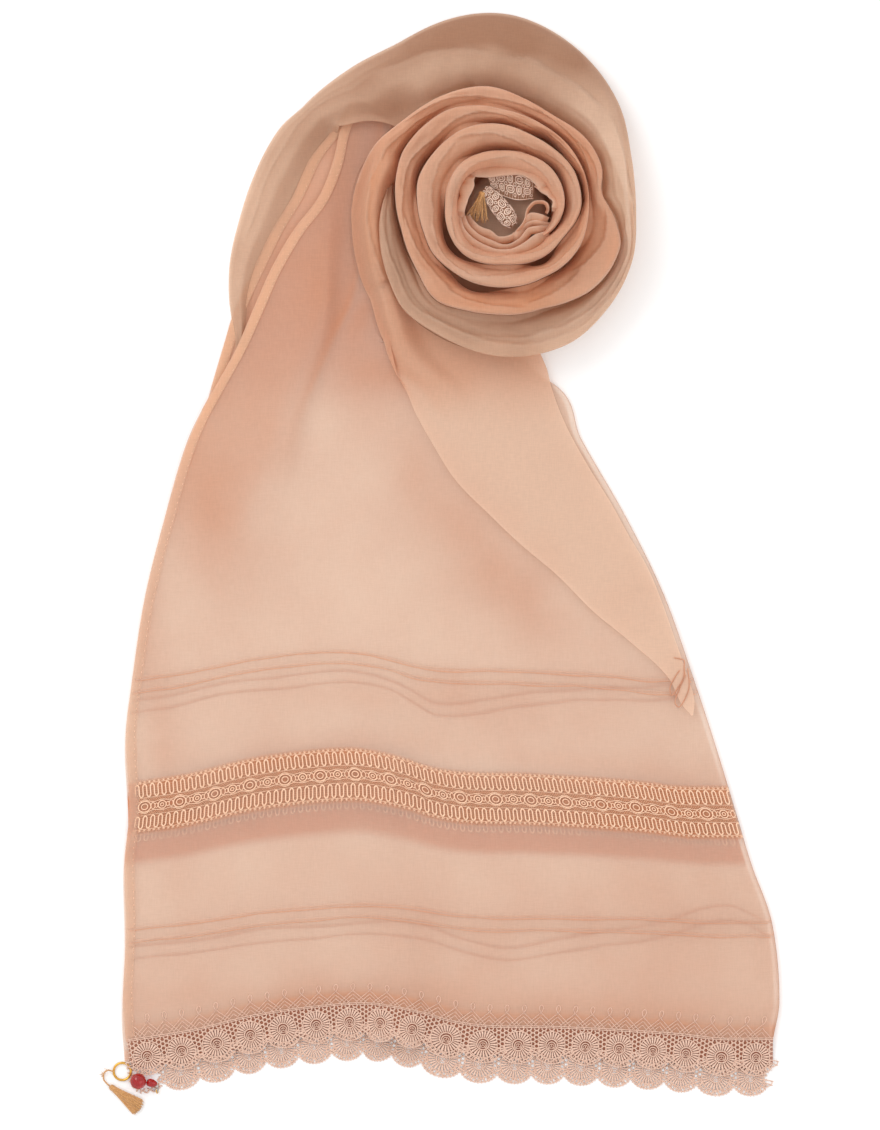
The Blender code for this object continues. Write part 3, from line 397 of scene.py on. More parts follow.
class Threads:
    """Threads gathered in a flat pattern of across, up and relief, and then laid on a surface."""

    def __init__(self):
        self.points, self.faces, self.count = [], [], 0

    def strand(self, line, width, rise, base=0, closed=False):
        """A flattened round thread along a line of pattern points."""
        line = np.asarray(line, float)
        n = len(line)
        along = np.roll(line, -1, 0) - np.roll(line, 1, 0) if closed else np.gradient(line, axis=0)
        side = unit(np.column_stack((-along[:, 1], along[:, 0])))
        half = np.broadcast_to(np.asarray(width, float) / 2, n)[:, None]
        ring = np.stack([
            np.column_stack((line + side * half * way, np.full(n, base + share * rise)))
            for way, share in ((1, 0.4), (0, 1), (-1, 0.4), (0, 0))
        ], 1)
        faces = ring_faces(n, 4, closed)
        if not closed:
            faces = np.concatenate((faces, [[3, 2, 1, 0]], [[4 * n - 4, 4 * n - 3, 4 * n - 2, 4 * n - 1]]))
        self.points.append(ring.reshape(-1, 3))
        self.faces.append(faces + self.count)
        self.count += 4 * n

    def make(self, name, surface, material, slot, nodes=()):
        """surface takes across, up and relief as arrays and gives points."""
        points = surface(*np.concatenate(self.points).T)
        return piece(name, points, np.concatenate(self.faces), material, nodes)


def circle(x, y, rx, ry=None, count=20, first=0, last=360):
    ry = rx if ry is None else ry
    whole = abs(last - first) >= 360
    a = np.radians(np.linspace(first, last, count, endpoint=not whole))
    return np.column_stack((x + rx * np.cos(a), y + ry * np.sin(a)))


def level(width, v, count):
    return np.column_stack((np.linspace(0, width, count), np.full(count, v)))


# The laid-out end

def turn_reach(name, angle):
    """How far out a turn's outer edge stands at an angle, or 0 where it doesn't run."""
    turn = TURNS[name]
    low, high = turn[-1][0] - LATE, turn[0][0] + EARLY.get(name, 0)
    found = [float(smooth(turn, a)) for a in (angle - 360, angle, angle + 360) if low <= a <= high]
    return max(found, default=0)


def outer_inside(angle):
    """How far in the outer turn comes at an angle: as far as the turns inside it allow."""
    inside = [name for name in TURNS if name != "outer_turn" and (name != "petal_turn" or angle >= -110)]
    reach = max(turn_reach(name, angle) for name in inside) + 0.8
    return max(reach, float(smooth(OUTER_START, angle))) if angle > 130 else reach


def panel_table():
    rows = list(PANEL_ROWS)
    for up, x, y, angle in COIL_ROWS:
        edge = (turn_reach("petal_turn", angle) or turn_reach("outer_turn", angle)) + 2 * SEAM
        rows.append((up, x, y, *(CENTRE + edge * np.array(direction(angle))), 0))
    return rows + [(CLOTH_END, -62, 326, -20, 326, 0)]


PANEL = panel_table()


def fold_height(x, y):
    total = np.zeros(np.shape(x))
    for chain in FOLDS:
        rows = np.array(sorted(chain, key=lambda row: row[1]))
        middle, height, left, right = (smooth(rows[:, [1, k]], y) for k in (0, 2, 3, 4))
        off = x - middle
        low = np.clip((y - rows[0, 1] + 40) / 40, 0, 1)
        high = np.clip((rows[-1, 1] + 30 - y) / 30, 0, 1)
        total += height * np.exp(-((off / np.where(off < 0, left, right)) ** 2)) * low * high
    return total


def ripple(x, y, seed=3):
    """Slack in the cloth: long soft waves down its length and a little crumple."""
    return 0.9 * noise(x / 46, y / 120, seed) + 0.35 * noise(x / 17, y / 48, seed + 1) + 0.6


def panel_at(up, share):
    """The panel's left and right edges and the hump of its rows between them."""
    up, share = np.broadcast_arrays(np.asarray(up, float), np.asarray(share, float))
    hump = smooth(HUMP, share) * smooth(PANEL, up, 5)
    return (up, share, *(smooth(PANEL, up, k) for k in range(1, 5)), hump)


def upper_at(up, share, lift=0):
    """Points on the top of the upper leaf."""
    up, share, lx, ly, rx, ry, hump = panel_at(up, share)
    x, y = lx + (rx - lx) * share, ly + (ry - ly) * share + hump
    fade = step(share / 0.04) * step((1 - share) / 0.05)
    z = UPPER_TOP - 0.6 + fold_height(x, y) + ripple(x, y) * fade
    return np.stack((x, y, z + lift), -1)


def under_at(up, share, lift=0):
    """Points on the top of the under leaf, which has slipped towards the hem."""
    up, share, lx, ly, rx, ry, hump = panel_at(up, share)
    slip = UNDER_SLIP * np.maximum(0, 1 - up / SLIP_END)
    slipped = np.maximum(0, up - slip)
    right_x = smooth(PANEL, slipped, 3) - 3.2 * LEAF
    right_y = smooth(PANEL, slipped, 4) - np.maximum(0, slip - up)
    high = up > GATHER
    lx = np.where(high, smooth(UNDER_LEFT, up, 1), lx - 0.8)
    ly = np.where(high, smooth(UNDER_LEFT, up, 2), ly - slip)
    tucked = 0.09 * step((up - 480) / 25)
    rx, ry = rx + tucked * (CENTRE[0] - rx), ry + tucked * (CENTRE[1] - ry)
    rx, ry = np.where(high, rx, right_x), np.where(high, ry, right_y)
    x, y = lx + (rx - lx) * share, ly + (ry - ly) * share + hump
    z = 0.9 + 0.25 * noise(x / 30, y / 60, 11)
    return np.stack((x, y, z + lift), -1)


def hanging(at, lift):
    """The way a border hangs from a leaf: on it above the seam, and past its end, square to it, below."""
    shares = np.linspace(0, 1, 601)
    along = unit(np.gradient(at(0, shares)[:, :2], axis=0))
    down = np.column_stack((along[:, 1], -along[:, 0]))

    def surface(across, up, relief):
        share = BORDER_INSET + across / WIDTH * (1 - BORDER_INSET)
        on = at(np.maximum(up, 0), share, lift)
        fall = np.maximum(-up, 0)
        ends = np.stack([np.interp(share, shares, down[:, k]) for k in range(2)], -1)
        on[:, :2] += ends * fall[:, None]
        on[:, 2] = np.maximum(on[:, 2] - smooth(SETTLE, fall), 0.2) + relief
        return on

    return surface


# The share of the hem's width that the border starts in from the left
BORDER_INSET = 0.003
# How far the border sinks towards the surface as it hangs past the cloth
SETTLE = ((0, 0), (6, 0.7), (12, 1.6), (25, 2.3))

# Painted shade, and some layers gathered below, that deepen the cloth's colour: x, y, reach x, reach y,
# tilt, amount
SHADES = (
    (-54, 177, 9, 22, -23, 0.32), (-60, 150, 26, 60, 12, 0.3), (0, 135, 60, 16, 0, 0.5),
    (18, 24, 30, 70, 40, 0.36), (60, -30, 26, 60, 48, 0.22), (-20, 90, 16, 60, 4, 0.16),
    (-40, -92, 120, 14, 0, 0.2), (40, -100, 70, 20, -5, 0.16), (-90, -128, 120, 12, 6, 0.2),
    (100, -140, 120, 10, -6, 0.2), (-100, -302, 110, 14, 4, 0.22), (100, -312, 140, 14, -2, 0.26),
    (-205, -60, 14, 160, 8, 0.25), (-25, -250, 40, 60, 10, 0.1), (-160, 30, 30, 70, 20, 0.3),
    (140, -218, 60, 60, 0, 0.14), (34, -262, 44, 50, 0, 0.12), (-70, -214, 80, 30, 0, 0.07),
)
# Right side of the layers gathered below the left shoulder: y, x, strength
GATHERED = (
    (-30, -133, 0), (0, -131, 0.12), (40, -118, 0.32), (80, -104, 0.5), (112, -94, 0.58), (158, -75, 0.62),
    (186, -62, 0.66), (214, -56, 0.7), (300, -40, 0.7),
)


def shading(x, y):
    """How much painted shade and the layers below deepen the colour of the laid-out cloth."""
    total = 0.05 + 0.14 * step((-150 - y) / 150)
    total = total + 0.10 * step((x - 60) / 120) * step((60 - y) / 200)
    for cx, cy, rx, ry, tilt, amount in SHADES:
        c, s = direction(tilt)
        dx, dy = (x - cx) * c + (y - cy) * s, (y - cy) * c - (x - cx) * s
        total += amount * np.exp(-((dx / rx) ** 2) - (dy / ry) ** 2)
    off = smooth(GATHERED, y) - x
    blur = 3 + 26 * step((130 - y) / 130)
    gathered = 0.85 * smooth(GATHERED, y, 2) * step(0.5 + off / (2 * blur))
    # Painted light: a little paler just in from the gathered layers' edge, where the fold's crest is lit
    gathered = gathered * (1 - 0.35 * np.exp(-(((off - 9) / 9) ** 2)))
    return total + gathered * (1 + 0.06 * np.exp(-((off - 4) / 7) ** 2))


def stations(spacing):
    """Places up the cloth, closer together at the pin tucks."""
    ups = [u for u in np.arange(0, CLOTH_END + 0.1, spacing) if min(abs(u - t) for t in TUCKS) > 1.6]
    for tuck in TUCKS:
        ups += [tuck + d for d in (-1.5, -1, -0.7, -0.35, 0, 0.35, 0.7, 1, 1.5)]
    return np.array(sorted(ups))


def tuck_ridge(up, share):
    total = sum(0.9 * np.exp(-(((up - tuck) / 0.75) ** 2)) for tuck in TUCKS)
    return total * (1 + 0.2 * noise(share * 60, up * 0 + 3, 21))


def make_upper_leaf():
    ups = stations(3.2)
    up, share = np.meshgrid(ups, np.linspace(0, 1, 176), indexing="ij")
    grid = upper_at(up, share)
    x, y = grid[..., 0], grid[..., 1]
    ridge = tuck_ridge(up, share)
    pucker = sum(np.exp(-(((up - t) / 9) ** 2)) for t in TUCKS) * 0.22 * noise(x / 5, y / 16, 8)
    grid[..., 2] += ridge + pucker
    # Painted shade and layers from shading(), and deeper where a tuck doubles the cloth, over the band and
    # the hem, and along the fold
    depth = shading(x, y) + 0.2 * ridge
    lace = step((up - BAND_LOW + 1) / 1.5) * step((BAND_HIGH + 1 - up) / 1.5)
    depth += 0.75 * lace * step((1 - share) / 0.006) + 0.30 * step((15 - up) / 6)
    depth += 0.25 * np.exp(-((1 - share) / 0.004) ** 2) * (up < GATHER)

    # The lengthwise fold at the right, which turns under; at the rosette it runs in below the turns
    turned = grid[:, -1:, :].repeat(4, 1)
    run = step((ups - GATHER) / 20)[:, None]
    inward = unit(CENTRE - grid[:, -1, :2])[:, None, :] * np.array((3, 7, 11, 15))[:, None]
    turned[..., :2] += run[..., None] * inward
    turned[..., 0] += (1 - run) * (np.array((0.9, 1.3, 1.2, 0.9)) - 1.2)
    under = (1 - run) * np.array((0.5, 1.4, 2.4, 3.2)) * (grid[:, -1:, 2] - 0.4) / 3.2
    turned[..., 2] -= under + run * np.array((0.1, 0.4, 0.8, 1.2))
    grid = np.concatenate((grid, turned), 1)
    depth = np.concatenate((depth, depth[:, -1:].repeat(4, 1) + 0.1), 1)
    made = cloth("upper_cloth", grid, depth, SHEER, ("upper_leaf",))
    return made, make_tucks("upper_tucks", upper_at, 0.6)


def make_under_leaf():
    up, share = np.meshgrid(stations(6), np.linspace(0, 1, 90), indexing="ij")
    reach = 14 + 5 * noise(share * 5, 0.3, 15)
    band = step((up - BAND_LOW + reach) / 5) * step((BAND_HIGH + 1 - up) / 3)
    depth = 0.14 + 0.9 * band + 0.4 * step((12 - up) / 6) + 0.6 * step((up - 430) / 60)
    made = cloth("under_cloth", under_at(up, share), depth, BACK, ("under_leaf",))
    return made, make_tucks("under_tucks", under_at, 0.15, True)


# How far the slipped leaf's tucks stray from their line: share across, and drop in mm, for each pair
STRAY = (
    ((0, 0), (0.3, 1), (0.46, -1), (0.53, 4), (0.6, 8), (0.68, 2.5), (0.72, -1), (0.8, -5.6), (0.85, -11),
     (0.9, -19), (0.945, -22), (1, -12)),
    ((0, 8), (0.04, 8.4), (0.15, 7), (0.28, 10.5), (0.41, 8), (0.49, 11), (0.54, 19), (0.6, 17),
     (0.71, 8.6), (0.8, 4.2), (0.89, 0.7), (0.95, -2), (1, -4)),
)


def make_tucks(name, at, lift, stray=False):
    """Pin tucks: the cloth pinched into narrow folds that lie over to one side."""
    shares = np.linspace(0.006, 0.994, 300)
    across = np.array((0, 0.25, 0.6, 1))
    grids = []
    for tuck in TUCKS:
        ups = tuck + 0.5 * noise(shares * 14, tuck, 19)
        if stray:
            ups -= smooth(STRAY[tuck > 100], shares)
            ups += 1.2 * noise(shares * 9, tuck, 23) * (tuck in TUCKS[1::2])
        width = 1.9 * (1 + 0.3 * noise(shares * 24, tuck, 29))
        grid = at(ups[:, None] - across * width[:, None], shares[:, None])
        grid[..., 2] += lift + np.array((0, 0.75, 0.5, 0.05))
        grids.append(grid.reshape(-1, 3))
    faces = np.concatenate([grid_faces(300, 4) + k * len(grids[0]) for k in range(len(grids))])
    tone = np.tile((0.5, 0.15, 0.5, 0.75), 300 * len(grids))
    return piece(name, np.concatenate(grids), faces, SHEER, (), tone)


def leaf_width(at, ups):
    return np.linalg.norm(at(ups, 1)[:, :2] - at(ups, 0)[:, :2], axis=1)


def hem_strip(name, at, ups):
    """A narrow turned hem along a leaf's selvedge."""
    across = np.linspace(0, 1, 9)
    width = 7 * across * (1 + 0.08 * noise(ups / 23, 0.5, 31)[:, None])
    grid = at(ups[:, None], width / leaf_width(at, ups)[:, None], 0.7)
    grid[..., 2] += 0.35 * np.sin(math.pi * across) ** 0.5
    depth = 0.15 + 0.8 * step((ups - 330) / 110)[:, None] - 0.15 * (np.abs(across - 0.5) > 0.36)
    return cloth(name + "_cloth", grid, depth + 0.08 * noise(ups / 9, 0.2, 33)[:, None], HEM, (name,))


def hem_stitches(name, at, ups):
    threads = Threads()
    for up, span in zip(ups, leaf_width(at, ups)):
        threads.strand([(6 / span, up - 0.6), (6 / span, up + 0.6)], 0.22 / span, 0.15)

    def surface(share, up, relief):
        points = at(up, share, 1)
        points[:, 2] += relief
        return points

    return threads.make(name + "_stitches", surface, BAND, "silk_thread")


def make_hems():
    for leaf, at, first, first_stitch, length, area in (
        ("upper", upper_at, 3, 6, 0.66, 0.0048), ("under", under_at, 440, 444, 0.21, 0.0016),
    ):
        strip = hem_strip("hem_" + leaf, at, np.arange(first, 680, 3))
        seam = hem_stitches("hem_" + leaf, at, np.arange(first_stitch, 645, 4.2))


# Lace

def wheel(threads, x):
    """A guipure wheel: satin spokes round a spiral of cords, with eyelets at its heart."""
    y, base, spokes = ROSETTE_V, 0.5, 26
    threads.strand(circle(x, y, 9.6, count=40), 0.7, 0.45, base, closed=True)
    for a in np.arange(spokes) * 2 * math.pi / spokes:
        line = [(x + r * math.cos(a), y + r * math.sin(a)) for r in (4.5, 5.4, 8.2, 9.5)]
        threads.strand(line, (0.6, 1, 1.6, 1), 0.6, base)
    threads.strand(circle(x, y, 4.1, count=26), 0.95, 0.6, base, closed=True)
    threads.strand(circle(x, y - 0.5, 2.75, first=-60, last=240), 0.8, 0.55, base)
    y -= 0.9
    threads.strand(circle(x, y, 1.7, count=16), 0.55, 0.5, base, closed=True)
    for a in (90, 210, 330):
        c, s = direction(a)
        threads.strand([(x, y), (x + 1.6 * c, y + 1.6 * s)], 0.5, 0.45, base)


def scallop_edge(phase):
    return SCALLOP_V - SCALLOP_DROP * np.sqrt(np.maximum(0, 1 - 0.94 * (phase / 0.5) ** 2))


def fan(threads, x):
    """The scallop below a wheel: short bars out to its edge, small holes between them, and picots."""
    y, base = ROSETTE_V, 0.4
    rim = []
    for a in np.radians(np.linspace(-168, -12, 17)):
        c, s = math.cos(a), math.sin(a)
        out = 10.2
        while out < 16 and y + out * s > scallop_edge(np.clip(out * c / PITCH, -0.49, 0.49)):
            out += 0.1
        rim.append((x + out * c, y + out * s))
        bar = [(x + r * c, y + r * s) for r in (9.6, (9.6 + out) / 2, out)]
        picot = [(x + r * c, y + r * s) for r in (out, out + 1)]
        threads.strand(bar, (0.9, 0.62, 0.9), 0.45, base)
        threads.strand(picot, (0.75, 0.3), 0.4, base)
    threads.strand(rim, 0.75, 0.5, base)


def honeycomb(threads, cell=1.8):
    """The ground of round meshes between the wheels and the seam."""
    half, tall = cell / 2, cell * math.sqrt(3)
    for i in range(int(BORDER / (1.5 * cell)) + 2):
        for j in range(9):
            u = i * 1.5 * cell
            v = -0.4 - (j + 0.5 * (i % 2)) * tall
            corners = ((half, tall / 2), (cell, 0), (half, -tall / 2), (-half, -tall / 2))
            corners = [(u + du, v + dv) for du, dv in corners]
            for a, b in zip(corners, corners[1:]):
                x, y = (a[0] + b[0]) / 2, (a[1] + b[1]) / 2
                phase = x / PITCH % 1 - 0.5
                inside = 0 <= x <= BORDER and scallop_edge(phase) + 0.5 <= y <= 0.6
                if inside and math.hypot(phase * PITCH, y - ROSETTE_V) >= 9.4:
                    threads.strand((a, b), 1.05, 0.4, 0.35)


def trellis(threads):
    """Crossing threads above the seam, in a row of peaks with a loop on each."""
    base = 0.35
    side_of_loop = ((1.1, 14.4), (1.5, 16.3), (0.9, 18))
    for u in np.arange(0.25, 2 * ROSETTES, 1) * PITCH / 2:
        for top in (12.4, 9.2, 6):
            for side in (-1, 1):
                reach = side * (top - 1) * 0.95
                line = [(u + reach * t, top - (top - 1) * t) for t in (0, 0.35, 0.7, 1)]
                if 0 <= line[-1][0] <= BORDER:
                    threads.strand(line, 0.5, 0.35, base)
        left, right = [(u - du, v) for du, v in side_of_loop], [(u + du, v) for du, v in side_of_loop[::-1]]
        threads.strand([(u, 12.2), *left, (u, 18.6), *right, (u, 12.2)], 0.55, 0.4, base)


def border(name, surface, first, seamed):
    """The lace of one leaf from its first whole wheel on, and the rows above the seam where they show."""
    threads = Threads()
    for k in range(first, ROSETTES):
        wheel(threads, (k + 0.5) * PITCH)
        fan(threads, (k + 0.5) * PITCH)
    honeycomb(threads)
    if seamed:
        for v in (0.2, 1.5):
            threads.strand(level(BORDER, v, 400), 0.7, 0.5, 0.4)
        trellis(threads)
    return threads.make(name + "_lace", surface, LACE, "lace", (name,))


def make_borders():
    on_upper = hanging(upper_at, 0.2)
    upper = border("border_upper", on_upper, 0, True)
    u, v = np.meshgrid(np.linspace(0, BORDER, 300), np.linspace(0.5, -19.5, 12), indexing="ij")
    v = np.maximum(v, scallop_edge(u / PITCH % 1 - 0.5) + 1)
    backing = on_upper(u.ravel(), v.ravel(), 0.1).reshape(300, 12, 3)
    # A sheer ground behind the hanging lace, dark as painted shade seen through the lace's holes
    net = cloth("border_upper_net_shade", backing, 0.95 + 0 * u, GROUND_AND_SHADE)
    return [upper, net], [border("border_under", hanging(under_at, -0.2), 1, False)]


def meander(threads, width, low, high, pitch=2.9):
    """A row of tall satin loops, joined at top and bottom by round turns."""
    line = []
    for k in range(round(width / pitch)):
        u = (k + 0.5) * pitch
        near, far, way = (low, high, 1) if k % 2 == 0 else (high, low, -1)
        turn = way * pitch * 0.5
        line += [(u, near + turn), (u, (low + high) / 2), (u, far - turn)]
        line += [(u + 0.22 * pitch, far - 0.25 * turn), (u + 0.5 * pitch, far),
                 (u + 0.78 * pitch, far - 0.25 * turn)]
    threads.strand(line, 1.2, 0.6, 0.3)


def stars(threads, width, v, pitch=3.6):
    for u in np.arange(pitch / 2, width, pitch):
        for a in (20, 80, 140):
            c, s = direction(a)
            threads.strand([(u - 1.35 * c, v - 1.35 * s), (u + 1.35 * c, v + 1.35 * s)], 0.42, 0.35, 0.25)


def chain(threads, width, v, pitch=26.6):
    """Large and small rings in turn, with ears between them."""
    edge = []
    for k in range(int(width / pitch) + 1):
        u = (k + 0.3) * pitch
        for du, rx, ry, inner in ((0, 4.7, 3.9, 2.4), (0.5 * pitch, 3, 2.8, 1.3)):
            if 2 < u + du < width - 2:
                threads.strand(circle(u + du, v, rx, ry, 24), 0.95, 0.6, 0.35, closed=True)
                threads.strand(circle(u + du, v, inner, inner * 0.85, 16), 0.85, 0.6, 0.35, closed=True)
                edge.append((u + du, ry))
        for du, rx, ry in ((6.4, 1.5, 2.3), (-6.4, 1.5, 2.3), (9, 1.1, 1.6), (-9, 1.1, 1.6)):
            if 2 < u + du < width - 2:
                threads.strand(circle(u + du, v, rx, ry, 14), 0.7, 0.5, 0.3, closed=True)
    steps = np.linspace(1, width - 1, 700)
    swell = sum(np.exp(-(((steps - u) / 4.2) ** 2)) * (ry - 1.6) for u, ry in edge)
    for side in (-1, 1):
        threads.strand(np.column_stack((steps, v + side * (2.6 + swell))), 0.6, 0.45, 0.3)


def hatch(threads, width, low, high, pitch=1.7):
    """Fine crossing threads of the net ground."""
    tall = high - low
    for u in np.arange(-tall, width, pitch):
        if 0 <= u <= width - tall:
            threads.strand(((u, low), (u + tall, high)), 0.32, 0.22, 0.12)
            threads.strand(((u + tall, low), (u, high)), 0.32, 0.22, 0.12)


def laid(at, inset):
    """The way a band lies on a leaf, from a share of the width in."""
    def surface(across, up, relief):
        points = at(BAND_LOW + up, inset + across / WIDTH, 0.15)
        points[:, 2] += relief
        return points

    return surface


def make_bands():
    width, tall = WIDTH * 0.992, BAND_HIGH - BAND_LOW
    threads, net, below = Threads(), Threads(), Threads()
    for low, high in ((tall - 11.6, tall - 2.6), (2.6, 11.6)):
        meander(threads, width, low, high)
        meander(below, width, low, high)
        for v in np.linspace(low + 1.4, high - 1.4, 5):
            net.strand(level(width, v, 260), 0.35, 0.2, 0.15)
    stars(threads, width, tall - 1)
    stars(threads, width, 1)
    chain(threads, width, tall / 2)
    for low, high in ((12.2, 15.6), (tall - 15.6, tall - 12.2)):
        hatch(net, width, low, high)
    for v in (1.9, 12.2, tall - 12.2, tall - 1.9):
        threads.strand(level(width, v, 260), 0.45, 0.3, 0.2)
    upper = [threads.make("band_upper_lace", laid(upper_at, 0.008), BAND, "lace", ("band_upper",)),
             net.make("band_upper_net", laid(upper_at, 0.008), NET, "lace")]
    return upper, [below.make("band_under_lace", laid(under_at, 0.006), BAND, "lace", ("band_under",))]


# The rosette

BASE_TONE = {"sweep": 0.46, "spiral": 0.62}
# The angle from which the inmost winding narrows
NARROWING = -1054
# Lapped folds along a ribbon: first angle, last angle, share across at each, drop, length of the drop's tail
LAPS = {
    "sweep": (
        (206, 120, 0.08, 0.14, 1, 0.1), (190, 128, 0.3, 0.23, 1.2, 0.2), (134, 92, 0.22, 0.6, -3.5, 0.22),
        (96, 44, 0.6, 0.37, -4.5, 0.3), (48, -20, 0.38, 0.05, -3, 0.3), (75, -70, 0.84, 0.4, 2, 0.2),
        (30, -110, 0.14, 0.34, 1.8, 0.2), (-40, -190, 0.55, 0.34, 2, 0.25),
        (-70, -165, 0.24, 0.66, 1.6, 0.2),
    ),
    "spiral": (
        (215, 150, 0.75, 0.25, 2.2, 0.3), (175, 118, 0.3, 0.8, 2.2, 0.25), (140, 96, 0.15, 0.6, 2.8, 0.25),
        (112, 62, 0.75, 0.25, 2.2, 0.25), (78, 20, 0.2, 0.85, 2, 0.2), (60, 12, 0.6, 0.3, 1.5, 0.2),
        (5, -45, 0.25, 0.8, 2.4, 0.3), (-35, -80, 0.7, 0.3, 1.8, 0.25), (-75, -135, 0.2, 0.7, 2, 0.25),
        (-120, -185, 0.75, 0.3, 1.8, 0.25), (-170, -230, 0.2, 0.75, 2.4, 0.25),
        (-215, -262, 0.8, 0.35, 2.2, 0.2), (-250, -300, 0.3, 0.8, 2.4, 0.2), (-290, -345, 0.7, 0.2, 2, 0.2),
        (-365, -430, 0.2, 0.65, 2, 0.25), (-420, -480, 0.75, 0.4, 1.6, 0.2),
        (-470, -545, 0.25, 0.7, 1.6, 0.25), (-535, -600, 0.7, 0.3, 1.6, 0.25),
        (-590, -650, 0.2, 0.75, 2.2, 0.25), (-640, -705, 0.75, 0.3, 2, 0.2),
        (-745, -800, 0.3, 0.75, 1.8, 0.25), (-800, -870, 0.7, 0.3, 1.8, 0.25),
        (-860, -930, 0.2, 0.7, 1.8, 0.25), (-925, -1000, 0.75, 0.3, 1.8, 0.2),
        (-995, -1060, 0.3, 0.7, 1.6, 0.2),
    ),
}
# Crevices along the inner side: angle, reach, how far they open, depth
CREVICES = {
    "sweep": (
        (-170, 20, 1, 0.6), (60, 60, 0, 0.5), (-40, 30, 0, 0.5),
    ),
    "spiral": (
        (165, 26, 2, 0.9), (45, 24, 1, 0.7), (-210, 13, 2.5, 1), (-268, 9, 1.6, 0.8), (-300, 15, 3.6, 1),
        (-341, 11, 3.6, 1), (-114, 17, 4.2, 1), (-40, 16, 0.6, 0.6), (-512, 24, 3.6, 1), (-413, 13, 3, 0.9),
        (-620, 20, 1.6, 0.7), (-680, 14, 2, 0.8), (-1000, 200, 0, 1), (-800, 120, 0, 1),
    ),
}
# Tone along a ribbon, partly painted shade and painted light: angle, share across, reach of each, amount
TONES = {
    "sweep": (
        (112, 0.1, 34, 0.32, 0.46), (84, 0.25, 26, 0.32, 0.5), (60, 0.12, 24, 0.2, 0.2),
        (150, 0.55, 26, 0.3, 0.16), (192, 0.75, 18, 0.35, 0.08), (90, 0.8, 36, 0.14, 0.1),
        (15, 0.45, 34, 0.4, -0.52), (20, 0.85, 30, 0.25, -0.42), (181, 0.55, 14, 0.4, -0.12),
        (-100, 0.6, 60, 0.4, -0.06), (-60, 0.1, 30, 0.2, -0.12),
    ),
    "spiral": (
        (190, 0.3, 30, 0.35, 0.02), (-95, 0.45, 34, 0.45, 0.16), (100, 0.2, 30, 0.3, -0.1),
        (-30, 0.4, 34, 0.3, -0.06), (-230, 0.3, 40, 0.35, -0.1), (-470, 0.3, 70, 0.5, -0.16),
        (-620, 0.4, 80, 0.5, -0.12), (-520, 0.85, 60, 0.2, 0.1), (-900, 0.4, 160, 0.6, -0.1),
    ),
}
# The petals' ribbon in one run of angles, from the flap's end to the hollow
SPIRAL = (
    PETAL_TURN + SECOND_TURN[1:-1]
    + tuple((a - 360, *rest) for a, *rest in THIRD_TURN)
    + ((-745, 43.5, 57, 0), (-765, 41.5, 57.5, 0), (-790, 38.5, 57.5, 0))
    + tuple((a - 720, *rest) for a, *rest in INNER_TURN if a < -80)
    + ((-1075, 40.5, 55, 0), (-1095, 36.5, 54, 0), (-1112, 32, 52, 0))
)


def section(skirt, across):
    """In and up shares of a turn's section, for skirts down the rows and places across the columns."""
    at, skirt = np.linspace(0, 1, len(ROLLED)), skirt[:, None]
    rolled, skirted = ([smooth(np.column_stack((at, np.array(line)[:, k])), across) for k in range(2)]
                       for line in (ROLLED, SKIRTED))
    return [(1 - skirt) * a + skirt * b for a, b in zip(rolled, skirted)]


def crease(name, angles, inward, arc, seed):
    """Relief of the lapped folds and the crumple over a ribbon, and the painted shade just past each lap's
    step, lighter on the ridge before it as a painted highlight.
    """
    total, lap_shade = np.zeros(inward.shape), np.zeros(inward.shape)
    for first, last, s1, s2, drop, tail in LAPS[name]:
        t = (first - angles) / (first - last)
        fade = (step(t / 0.2) * step((1 - t) / 0.2))[:, None]
        line = s1 + (s2 - s1) * np.clip(t, 0, 1) + 0.035 * noise(angles / 9, first, seed + 5)
        off = (inward - line[:, None]) * np.sign(drop)
        lapped = step(off / 0.03) * np.exp(-np.maximum(off, 0) / tail)
        ridge = np.exp(-((off / 0.06) ** 2)) * (off < 0)
        total += abs(drop) * fade * (0.4 * ridge - lapped)
        lap_shade += fade * (lapped - 0.5 * ridge)
    for height, long, slant, wide, draw in (
        (1.1, 30, 0, 2.4, 0), (0.9, 13, 1.6, 1.4, 4), (0.5, 11, 0, 5, 1), (0.2, 4.6, 0, 9, 2),
    ):
        total += height * noise(arc[:, None] / long + slant * inward, inward * wide, seed + draw)
    return total, lap_shade


def hollows(name, angles):
    """How far the crevices open and how deep they run, along a ribbon."""
    wide, deep = np.zeros(len(angles)), np.zeros(len(angles))
    for at, reach, opening, depth in CREVICES[name]:
        near = np.exp(-(((angles - at) / reach) ** 2))
        wide += opening * near
        deep = np.maximum(deep, depth * near)
    return wide, deep


